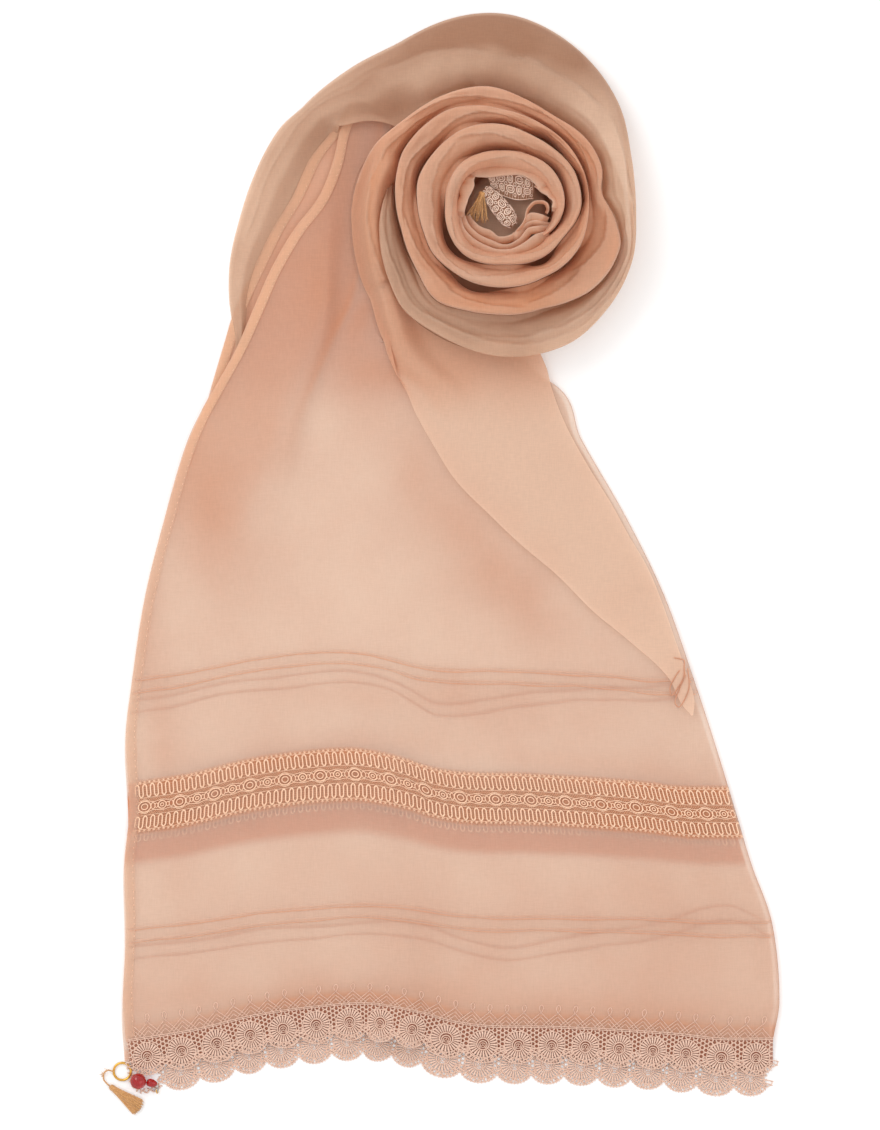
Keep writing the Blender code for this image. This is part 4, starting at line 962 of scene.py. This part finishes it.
def ribbon(name, angles, outer, inner, top, skirt, foot, seed):
    """Points, depth, place across and relief of a ribbon wound between its outer and inner lines."""
    inward, rise = section(skirt, np.linspace(0, 1, 52))
    arc = np.concatenate(([0], np.cumsum(np.linalg.norm(np.diff(outer, axis=0), axis=1))))
    sway = 1.1 * noise(arc / 21, seed, seed) + 0.6 * noise(arc / 8, seed, seed + 3)
    # The edge sways past 180 degrees, along the flap and the left outline, and keeps to its table elsewhere
    sway = sway * step((110 - np.abs(angles - 320)) / 30 + 1)
    outer = outer + unit(outer - inner) * sway[:, None]
    plan = outer[:, None] + (inner - outer)[:, None] * inward[..., None]
    deep = hollows(name, angles)[1][:, None]
    rise = np.where(inward > 0.5, np.maximum(rise, (1 - deep) * 0.86), rise)
    relief, lap_shade = crease(name, angles, inward, arc, seed)
    crown = 1.2 * noise(arc / 26, seed + 2, seed + 9)[:, None]
    z = foot[:, None] + rise * (top - foot)[:, None] + (relief + crown) * step((rise - 0.35) / 0.4)
    # Painted shade deepening towards the crevice on the inner side, painted highlights along the crest's
    # outer edge and a skirt's edge, and painted shade below the laps
    depth = BASE_TONE[name] + 0.05 * step((inward - 0.6) / 0.4)
    depth = depth - 0.4 * np.exp(-((inward / 0.045) ** 2)) * (rise > 0.8)
    depth = depth - 0.45 * skirt[:, None] * np.exp(-(((inward - 0.02) / 0.025) ** 2))
    depth = depth + 0.12 * lap_shade + 0.07 * noise(arc[:, None] / 24, inward * 2, seed + 7)
    for at, share, wide, tall, amount in TONES[name]:
        near = np.exp(-((angles[:, None] - at) / wide) ** 2 - ((inward - share) / tall) ** 2)
        depth = depth + amount * near
    return np.concatenate((plan, z[..., None]), -1), depth, inward, relief


def around(angles, reach):
    turn = np.radians(angles)
    return CENTRE + reach[:, None] * np.column_stack((np.cos(turn), np.sin(turn)))


def make_sweep():
    """The outer cloth: from the upper left outline round the top and the right, and under the left again."""
    start, turn = np.arange(208, 152, -1), np.arange(152, -200.5, -1)
    angles = np.concatenate((start, turn))
    from_start = [smooth(SWEEP_START, start, k) for k in range(1, 5)]
    edge, top, skirt = (smooth(OUTER_TURN, turn, k) for k in range(1, 4))
    inside = [outer_inside(a) for a in turn]
    edge, inner, top, lip, skirt = (np.concatenate(pair) for pair in zip(
        (*from_start, np.ones(len(start))), (edge, inside, top, np.full(len(turn), 10), skirt)
    ))
    inner = np.minimum(inner + hollows("sweep", angles)[0], edge - 3)
    top = top - 12 * step((-180 - angles) / 20)
    foot = 0.4 + (BED_TOP + SEAM - 0.4) * step((-86 - angles) / 12)
    grid, depth, inward, _ = ribbon(
        "sweep", angles, around(angles, edge), around(angles, inner), top, skirt, foot, 41
    )
    # Along the left outline the inner lip lies down on the leaves
    lie = step((angles - 122) / 14)[:, None] * step((inward - 0.45) / 0.5)
    grid[..., 2] = np.maximum(grid[..., 2] * (1 - lie) + lie * (lip[:, None] + 0.45), 0.3)
    made = cloth("sweep_cloth", grid, depth, ROLL, ("outer_turn", "left_roll"))
    declare(made)


def flap_base(x, y):
    """The height that the flap lies at: on the upper leaf, with slack of its own."""
    return UPPER_TOP + fold_height(x, y) + 0.8 * ripple(x, y, 61)


def make_petals():
    """The flap, the petal it becomes and the petals wound inside it, in one ribbon."""
    rows = curve((FLAP_TIP, *FLAP_ROWS), 170)
    n = len(rows)
    way = np.linspace(0, 1, n)
    angles = np.arange(209, SPIRAL[-1][0] - 0.5, -1)
    turning = np.concatenate((np.linspace(420, 210, n), angles))
    edge = smooth(SPIRAL, angles, 1)
    # The inmost winding has no turn inside it to meet. It widens once, and narrows to its end in the hollow
    width = INNER_WIDTH + 4 * np.exp(-(((angles + 1000) / 45) ** 2))
    narrow = np.maximum(4, width - 6 * (NARROWING - angles) / (NARROWING - SPIRAL[-1][0]))
    width = np.where(angles < NARROWING, narrow, width)
    after = np.where(angles - 360 > SPIRAL[-1][0], smooth(SPIRAL, angles - 360, 1) + 0.8, edge - width)
    share = step((angles - 150) / 12)
    inner = after * (1 - share) + (smooth(OUTER_TURN, angles - 360, 1) - 6) * share
    inner = np.minimum(inner + hollows("spiral", angles)[0], edge - 3)
    outer = np.concatenate((rows[:, :2], around(angles, edge)))
    inner = np.concatenate((rows[:, 2:], around(angles, inner)))
    top = np.concatenate((6 + 16 * step((way - 0.7) / 0.3), smooth(SPIRAL, angles, 2)))
    skirt = np.concatenate((1 - 0.62 * step((way - 0.72) / 0.28), smooth(SPIRAL, angles, 3)))
    foot = np.full(len(top), BED_TOP + SEAM)
    grid, depth, inward, relief = ribbon("spiral", turning, outer, inner, top, skirt, foot, 53)

    # The lowest petal swells from its outer edge and runs flat under the ring above it
    wide = np.linalg.norm(outer - inner, axis=1)[:, None]
    off = inward * wide
    bump = step((off + 1) / 13) * (1 - 0.9 * step((off - 16) / 16))
    low = foot[:, None] + (top - foot)[:, None] * bump + 0.6 * relief * bump
    under_ring = step((turning - 148) / 20)[:, None]
    grid[..., 2] = grid[..., 2] * (1 - under_ring) + low * under_ring

    # The flap lies flat at its tip and rises into the petal
    across = np.linspace(0, 1, grid.shape[1])
    flat = rows[:, None, :2] + (rows[:, 2:] - rows[:, :2])[:, None] * across[:, None]
    x, y = flat[..., 0], flat[..., 1]
    rim = np.exp(-((across * wide[:n]) / 1.1) ** 2)
    z = flap_base(x, y) + 1.1 + 2.2 * np.sin(math.pi * across) * np.minimum(1, wide[:n] / 60) + 0.5 * rim
    mix = step((way - 0.70) / 0.22)[:, None]
    flap = np.concatenate((flat, z[..., None]), -1)
    grid[:n] = flap * (1 - mix[..., None]) + grid[:n] * mix[..., None]
    # The flap's colour: painted shade from shading(), a painted highlight along its edge, and deeper as it
    # rises into the petal
    tone = 0.35 * (shading(x, y) - 0.05) - 0.2 * rim + 0.30 * step(mix / 0.8)
    depth[:n] = tone * (1 - mix) + (depth[:n] - 0.1) * mix
    made = cloth("petal_cloth", grid, depth, PETAL,
                 ("flap", "petal_turn", "second_turn", "third_turn", "inner_turn"))
    lines = [curve(plan, 60) for plan in TUCK_LOOPS]
    loops = [np.column_stack((line, flap_base(*line.T) + 1.9)) for line in lines]
    tucks = tubes("flap_tucks", loops, (0.42, 0.42), SHEER, tone=0.7)
    declare(made)


def make_heart():
    """The cloth over the hidden windings, as it shows in the hollow and in the crevices."""
    angles = np.radians(np.arange(0, 361, 4))[:, None]
    reach, height = np.array(HEART_ROWS).T
    out = reach * (1 + 0.16 * (reach > 60) * (np.cos(angles) < -0.2))
    x, y = CENTRE[0] + out * np.cos(angles), CENTRE[1] + out * np.sin(angles)
    z = height + 0.8 * noise(x / 7, y / 7, 71) * (reach < 25)
    # Painted shade: the bed is dark beyond the hollow, where it shows only in the crevices between the turns
    depth = 0.12 + 0.9 * (reach > 28) + 0 * x
    made = cloth("heart_cloth", np.stack((x, y, z), -1), depth, ROLL, ("coil_heart",))
    declare(made)


# The bed, from its centre out: reach, height
HEART_ROWS = (
    (0.5, 30), (5, 30.2), (10, 30.3), (15, 30.4), (20, 30.6), (24, 30.8), (27, 29), (29.5, 24), (34, 21),
    (44, 19), (56, 17), (66, 14), (84, 6),
)
HEART_TOP = 30.4
# A fold's section over its edge: out, share of its slope back, fall below the edge, tone
# The tone is painted shade, darkest at the foot in the hollow and where the fold slopes back under the cloth
# behind, and a painted highlight at the edge
FOLD_SECTION = (
    (0.9, 0, 0, 1), (0.5, 0, 0, 0.9), (0.15, 0, 3, 0.7), (0, 0, 0.8, 0.25), (0.1, 0, 0.15, 0.15),
    (0.35, 0.05, 0, 0.4), (0, 0.25, 0.15, 0.5), (0, 0.5, 0.8, 0.6), (0, 0.78, 2, 0.75), (0, 1, 3.6, 0.9),
)
HEART_FOLDS = {
    # plan from the centre, then top, and how far its cloth slopes back from that edge
    "heart_fold_loop": (((4.4, -15.1), (9.8, -9.7), (13.1, -2), (15.5, 3), (20, 7), (25, 8), (29, 5.8),
        (30, 2), (28.6, -1.6)), 50, 2.4),
    "heart_fold_stem": (((2, -17.5), (5.6, -15), (11, -9.4), (14.4, -2.6), (18, -0.6), (25, -1.6),
        (30, -3.4)), 48.6, 7),
    "heart_fold_low": (((-24.5, -1.5), (-22.4, -5.7), (-17.7, -10.4), (-11, -13.4), (-4.3, -17.1),
        (4.4, -15.8), (9.5, -11), (16, -7), (24, -6.5), (31, -7)), 47.5, 6),
    "heart_fold_mid": (((-28.5, 0), (-25.7, -10), (-20.4, -14.4), (-12.3, -18.8), (-1.6, -22.6),
        (9.1, -18.4), (15.1, -11.6), (22, -10.2), (30, -10)), 50, 6),
    "heart_fold_wide": (((-31, -2), (-29, -11.5), (-23.4, -18.1), (-14.3, -23.5), (-4.6, -26.5),
        (4.4, -25.8), (13, -21.5), (20.5, -16.4), (28.6, -13)), 52.5, 7),
    "heart_fold_side": (((19.5, 17.6), (24.5, 13.2), (29, 10), (31.5, 6), (31.8, 0)), 51, 6),
    "heart_fold_left": (((-20.7, 26), (-22.4, 18), (-25.6, 9.4), (-28.4, 3), (-30, -4)), 52, 8),
    "heart_fold_top": (((-27, 22), (-20, 24), (-12.3, 23.6), (-1.6, 24.6), (7.8, 24.6), (14.5, 22.4),
        (21, 17.4), (27, 11)), 51, 9),
}


def make_heart_folds():
    """Folds in the hollow: each stands up to a crisp edge and slopes back under the cloth behind it."""
    out, back_share, fall, tone = np.array(FOLD_SECTION).T
    arc = np.linspace(0, 1, 80)
    ends = step(arc / 0.12) * step((1 - arc) / 0.12)
    for seed, (name, (plan, top, slope)) in enumerate(HEART_FOLDS.items()):
        line = curve(plan, 80)
        along = unit(np.gradient(line, axis=0))
        side = np.column_stack((along[:, 1], -along[:, 0]))
        side *= np.sign((side * line).sum(1).mean() or 1)
        crest = top + 1.3 * noise(arc * 6, seed, 83 + seed) - 4 * (1 - ends)
        sway = 0.7 * noise(arc * 7, seed, 93 + seed)
        back = slope * (1 + 0.35 * noise(arc * 5, seed + 0.5, 73))
        off = out + back[:, None] * back_share + sway[:, None]
        z = crest[:, None] - fall * (1 if slope > 2 else 1.6)
        z[:, 0], z[:, 1] = HEART_TOP, 0.5 * (HEART_TOP + crest)
        place = CENTRE + line[:, None] + side[:, None] * off[..., None]
        z = z + 0.4 * noise(place[..., 0] / 3, place[..., 1] / 3, 63 + seed)
        nodes = (name,) if name in ("heart_fold_loop", "heart_fold_low") else ()
        # Each fold is coloured by its section's tone: painted shade and a painted highlight
        made = cloth(name + "_cloth", np.concatenate((place, z[..., None]), -1), tone + 0 * z, PETAL, nodes)
        declare(made)


# The other end, in the hollow

END_ROLL = ((-15, 16.6, 2.8), (-9, 9.5, 5), (-2, 0.6, 5.8), (2.6, -5.6, 5.2), (5.4, -9.6, 2.6))
ROLL_TALL, TONGUE_TALL = 20, 13
END_TONGUE = ((-13.5, 25, -9, 15), (-2, 26.5, -0.6, 11), (9, 25.5, 9, 8.6), (19.5, 20, 19, 9.6))


def lace_scrap(width, tall):
    """A piece of the same lace, seen small: a chain of rings with bars to either side."""
    threads = Threads()
    base = 0.2
    for k, u in enumerate(np.arange(3, width - 1, 6.6)):
        for j, v in enumerate(np.arange(2.6, tall - 1, 5.4)):
            wide, high = (2.9, 2) if (j + k) % 2 else (1.9, 2.3)
            threads.strand(circle(u, v, wide, high), 0.75, 0.6, base, closed=True)
            threads.strand(circle(u, v, wide - 1.3, high - 1.2, 10), 0.5, 0.5, base, closed=True)
            for side in (-0.5, 0.5):
                bar = [(u + side * wide, v - 0.5 * high), (u + side * wide, v + 0.5 * high)]
                threads.strand(bar, 0.4, 0.4, base)
            threads.strand(circle(u + 3.4, v + 2.7, 0.9, 0.9, 10), 0.5, 0.4, base, closed=True)
    for v in (0, tall):
        threads.strand(level(width, v, 40), 0.5, 0.4, base)
    for u in np.arange(0, width, 2.2):
        threads.strand([(u, 0), (u + 0.8, tall * 0.5), (u, tall)], 0.25, 0.2, base * 0.3)
    return threads


def end_scrap(name, line, surface, tall, rows, columns, lift):
    """A scrap of the other end: plain cloth with its lace on it, laid by surface along a line."""
    length = float(np.linalg.norm(np.diff(line[:, :2], axis=0), axis=1).sum())
    laid_by = surface(np.linspace(0, length, len(line)))
    u, v = np.meshgrid(np.linspace(0, length, rows), np.linspace(0, tall, columns), indexing="ij")
    grid = laid_by(u.ravel(), v.ravel(), lift).reshape(rows, columns, 3)
    plain = cloth(name + "_cloth", grid, 1 + 0 * u, ROLL)
    lace = lace_scrap(length, tall).make(name + "_lace", laid_by, END, "lace", (name,))
    declare(plain)


def make_other_end():
    points = curve(END_ROLL, 40)
    along = unit(np.gradient(points[:, :2], axis=0))
    rows = curve(END_TONGUE, 60)

    def round_roll(at):
        def surface(across, up, relief):
            turn = np.radians(200 - up / ROLL_TALL * 220)
            x, y, radius, side_x, side_y = (
                np.interp(across, at, value) for value in (*points.T, along[:, 1], -along[:, 0])
            )
            radius = radius + relief
            x, y = x + radius * np.cos(turn) * side_x, y + radius * np.cos(turn) * side_y
            return np.column_stack((CENTRE[0] + x, CENTRE[1] + y, 40.6 + radius * np.sin(turn)))

        return surface

    def on_tongue(at):
        def surface(across, up, relief):
            share = up / TONGUE_TALL
            ox, oy, ix, iy = (np.interp(across, at, value) for value in rows.T)
            x, y = CENTRE[0] + ox + (ix - ox) * share, CENTRE[1] + oy + (iy - oy) * share
            z = 37.8 + 4 * (1 - share) + 0.5 * noise(x / 4, y / 4, 77) + relief
            return np.column_stack((x, y, z))

        return surface

    end_scrap("end_roll", points, round_roll, ROLL_TALL, 40, 24, -0.25)
    end_scrap("end_tongue", rows, on_tongue, TONGUE_TALL, 50, 16, 0)
    head, tip = (*(CENTRE + (-16.4, 14)), 43), (*(CENTRE + (-21, -7)), 38.6)
    tassel("end_tassel_silk", head, tip, (2.2, 8.5), 3, 30, 5, ("end_tassel",), 0.36, 5, 31.3)


# Trims

# Sides of a round thread
SIDES = 6
# Place along the dark bead's axis, and radius there
CUP = (
    (-3.6, 0.5), (-3.4, 1.5), (-2.4, 2.5), (-1, 2.9), (0.6, 2.75), (2, 2.2), (3.2, 1.5), (3.9, 1),
    (3.7, 0.6), (2.4, 0.9), (0.5, 0.8),
)
LINK = (
    (-229.7, -355.4, 2.35), (-233, -354.4, 2.2), (-236.2, -356.2, 1.8), (-236.6, -360.4, 1.7),
    (-234.6, -363.5, 1.7), (-232.2, -365.6, 1.7),
)


def tube_points(line, radius):
    along = unit(np.gradient(line, axis=0))
    side = unit(np.cross(along, (0, 0, 1)) + np.array((1e-6, 0, 0)))
    up = np.cross(side, along)
    turn = (np.arange(SIDES) * 2 * math.pi / SIDES)[:, None]
    spokes = np.cos(turn) * side[:, None] + np.sin(turn) * up[:, None]
    return (line[:, None] + np.broadcast_to(radius, len(line))[:, None, None] * spokes).reshape(-1, 3)


def tubes(name, lines, radii, material, nodes=(), tone=None):
    """Round threads along lines, each with a radius or with one for each of its points."""
    points = [tube_points(line, radius) for line, radius in zip(lines, radii)]
    starts = np.cumsum([0] + [len(line) * SIDES for line in lines])
    faces = [ring_faces(len(line), SIDES) + start for line, start in zip(lines, starts)]
    depth = None if tone is None else np.full(starts[-1], tone)
    return piece(name, np.concatenate(points), np.concatenate(faces), material, nodes, depth)


def tassel(name, head, tip, radii, head_length, count, seed, nodes, strand_radius, sway, floor):
    """A wrapped head and many fine strands that leave it and spread."""
    draw = np.random.RandomState(seed)
    head, tip = np.array(head), np.array(tip)
    along = unit(tip - head)
    side = unit(np.cross(along, (0, 0, 1)))
    up = np.cross(side, along)
    long = float(np.linalg.norm(tip - head))
    lines, thick = [], []
    t = np.linspace(0, 1, 12)
    for _ in range(count):
        a, r = draw.uniform(0, 2 * math.pi), math.sqrt(draw.uniform(0, 1))
        x, y = r * math.cos(a), r * math.sin(a)
        end = long * draw.uniform(0.86, 1) - 0.06 * long * x * x
        bend, phase = draw.uniform(-0.5, 0.5, 2)
        away = head_length * 0.6 + (end - head_length * 0.6) * t
        wide = radii[0] * 0.9 + (radii[1] - radii[0]) * t**1.15
        off = x * wide + sway * bend * t * np.sin(3 * t + phase * 6)
        lift = y * (radii[0] * 0.8 * (1 - 0.45 * t))
        line = head + along * away[:, None] + side * off[:, None] + up * lift[:, None]
        line[:, 2] = np.maximum(line[:, 2], strand_radius + floor)
        lines.append(line)
        thick.append(strand_radius * (1 - 0.35 * t))
    t = np.linspace(0, 1, 14 * 16)
    turns = 14 * 2 * math.pi * t
    body = radii[0] * (0.62 + 0.42 * np.sin(math.pi * np.clip(t * 1.15, 0, 1)) ** 0.7)
    lines.append(head + along * (head_length * t)[:, None] + side * (body * np.cos(turns))[:, None]
                 + up * (0.85 * body * np.sin(turns))[:, None])
    lines.append(head + along * (head_length * np.linspace(-0.05, 1.05, 10))[:, None])
    core = radii[0] * np.array((0.3, 0.62, 0.85, 0.95, 1, 0.98, 0.9, 0.9, 1, 0.8)) * 0.92
    return tubes(name, lines, [*thick, 0.2, core], SILK, nodes)


def torus(name, at, radius, wire, nodes=(), tilt=0):
    around, section_count = 72, 14
    i, j = np.meshgrid(np.arange(around), np.arange(section_count), indexing="ij")
    a, b = i * 2 * math.pi / around, j * 2 * math.pi / section_count
    r = radius + wire * np.cos(b)
    x, y, z = r * np.cos(a), r * np.sin(a), wire * np.sin(b)
    c, s = direction(tilt)
    x, z = x * c + z * s, z * c - x * s
    points = np.stack((at[0] + x, at[1] + y, at[2] + z), -1).reshape(-1, 3)
    here, after, j2 = i * section_count, (i + 1) % around * section_count, (j + 1) % section_count
    faces = np.stack((here + j, after + j, after + j2, here + j2), -1).reshape(-1, 4)
    return piece(name, points, faces, GILT, nodes)


def turned(name, at, axis, profile, material, nodes, lobes=0, depth=0):
    """A body of revolution along a level axis, with lobes where it is petalled."""
    along = np.array((*direction(axis), 0))
    side = np.array((-along[1], along[0], 0))
    turn = np.arange(48) * 2 * math.pi / 48
    place, radius = np.array(profile).T[..., None]
    r = radius * (1 + depth * np.cos(lobes * turn) * np.linspace(0, 1, len(profile))[:, None])
    points = (np.array(at) + along * place[..., None] + side * (r * np.cos(turn))[..., None]
              + np.array((0, 0, 1)) * (r * np.sin(turn))[..., None])
    return piece(name, points.reshape(-1, 3), ring_faces(len(profile), 48), material, nodes)


def ball_profile(radius, hole):
    a = np.linspace(math.asin(hole / radius), math.pi - math.asin(hole / radius), 24)
    return [(-radius * math.cos(t), radius * math.sin(t)) for t in a]


def make_trims():
    torus("ring_gilt", (-223.6, -355.4, 0.85), 6, 0.8, ("trim_ring",))
    turned("bead_garnet", (-212.2, -361.9, 5.6), -8, ball_profile(5.6, 0.7), GARNET, ("trim_bead",))
    turned("cup_garnet", (-203, -363.4, 3), -12, CUP, GARNET, ("trim_cup",), 5, 0.18)
    turned("tip_bead", (-199.5, -368, 2.1), 60, ball_profile(1.7, 0.4), CLEAR, ("trim_tip_bead",))
    torus("tip_loop", (-199, -368.8, 2.1), 1.75, 0.35, tilt=70)
    link = curve(LINK, 90)
    along = unit(np.gradient(link, axis=0))
    side = unit(np.cross(along, (0, 0, 1)))
    up = np.cross(side, along)
    turn = np.linspace(0, 16 * math.pi, 90)[:, None]
    plies = [link + 0.28 * (side * np.cos(turn + p) + up * np.sin(turn + p)) for p in (0, math.pi)]
    frayed = []
    draw = np.random.RandomState(9)
    t = np.linspace(0, 1, 6)[:, None]
    for _ in range(9):
        start = link[draw.randint(20, 50)]
        aim = np.array((draw.uniform(-1, -0.1), draw.uniform(-0.8, 0.8), 0))
        frayed.append(start + unit(aim) * t * draw.uniform(1.5, 3.2) - np.array((0, 0, 0.9)) * t**2)
    tubes("link_thread", plies + frayed, [0.34, 0.34] + [0.12] * 9, SILK, ("trim_link",))
    tassel("tassel_silk", (-232, -365.6, 1.95), (-210.5, -382, 1.95), (2, 6.4), 4.6, 170, 4,
           ("trim_tassel",), 0.3, 0.5, 0.05)


# Stage

def make_stage():
    mesh = bpy.data.meshes.new("floor")
    mesh.from_pydata([(-4, -4, 0), (4, -4, 0), (4, 4, 0), (-4, 4, 0)], [], [(0, 1, 2, 3)])
    paper = Shader("floor", {"Base Color": (0.93, 0.93, 0.935, 1), "Roughness": 0.9})
    mesh.materials.append(paper.material)
    put("floor", mesh)

    scene = bpy.context.scene
    scene.view_settings.view_transform = "Standard"
    scene.world = bpy.data.worlds.new("studio")
    scene.world.use_nodes = True
    sky = scene.world.node_tree.nodes["Background"].inputs
    sky["Color"].default_value, sky["Strength"].default_value = (1, 0.99, 0.98, 1), 1.06
    for name, (x, y, z), size, power in (
        ("key", (-1.6, 1.5, 1.9), 1.6, 24), ("fill", (1.6, -1, 2.2), 1.8, 8),
    ):
        data = bpy.data.lights.new(name, "AREA")
        data.size, data.energy = size, power
        lamp = put(name, data)
        lamp.location = (x, y, z)
        lamp.rotation_euler = (0, math.atan2(math.hypot(x, y), z), math.atan2(y, x))

    data = bpy.data.cameras.new("camera")
    data.lens, data.sensor_width = 200, 36
    scene.camera = put("camera", data)
    tall = PHOTO_TALL * PIXEL * MM
    scene.camera.location = (-0.00105, -0.0007, 0.003 + tall * data.lens / data.sensor_width)


make_stage()
under, under_tucks = make_under_leaf()
upper, upper_tucks = make_upper_leaf()
make_hems()
for_upper, for_under = (a + b for a, b in zip(make_bands(), make_borders()))
make_sweep()
make_petals()
make_heart()
make_heart_folds()
make_other_end()
make_trims()
bpy.context.view_layer.update()
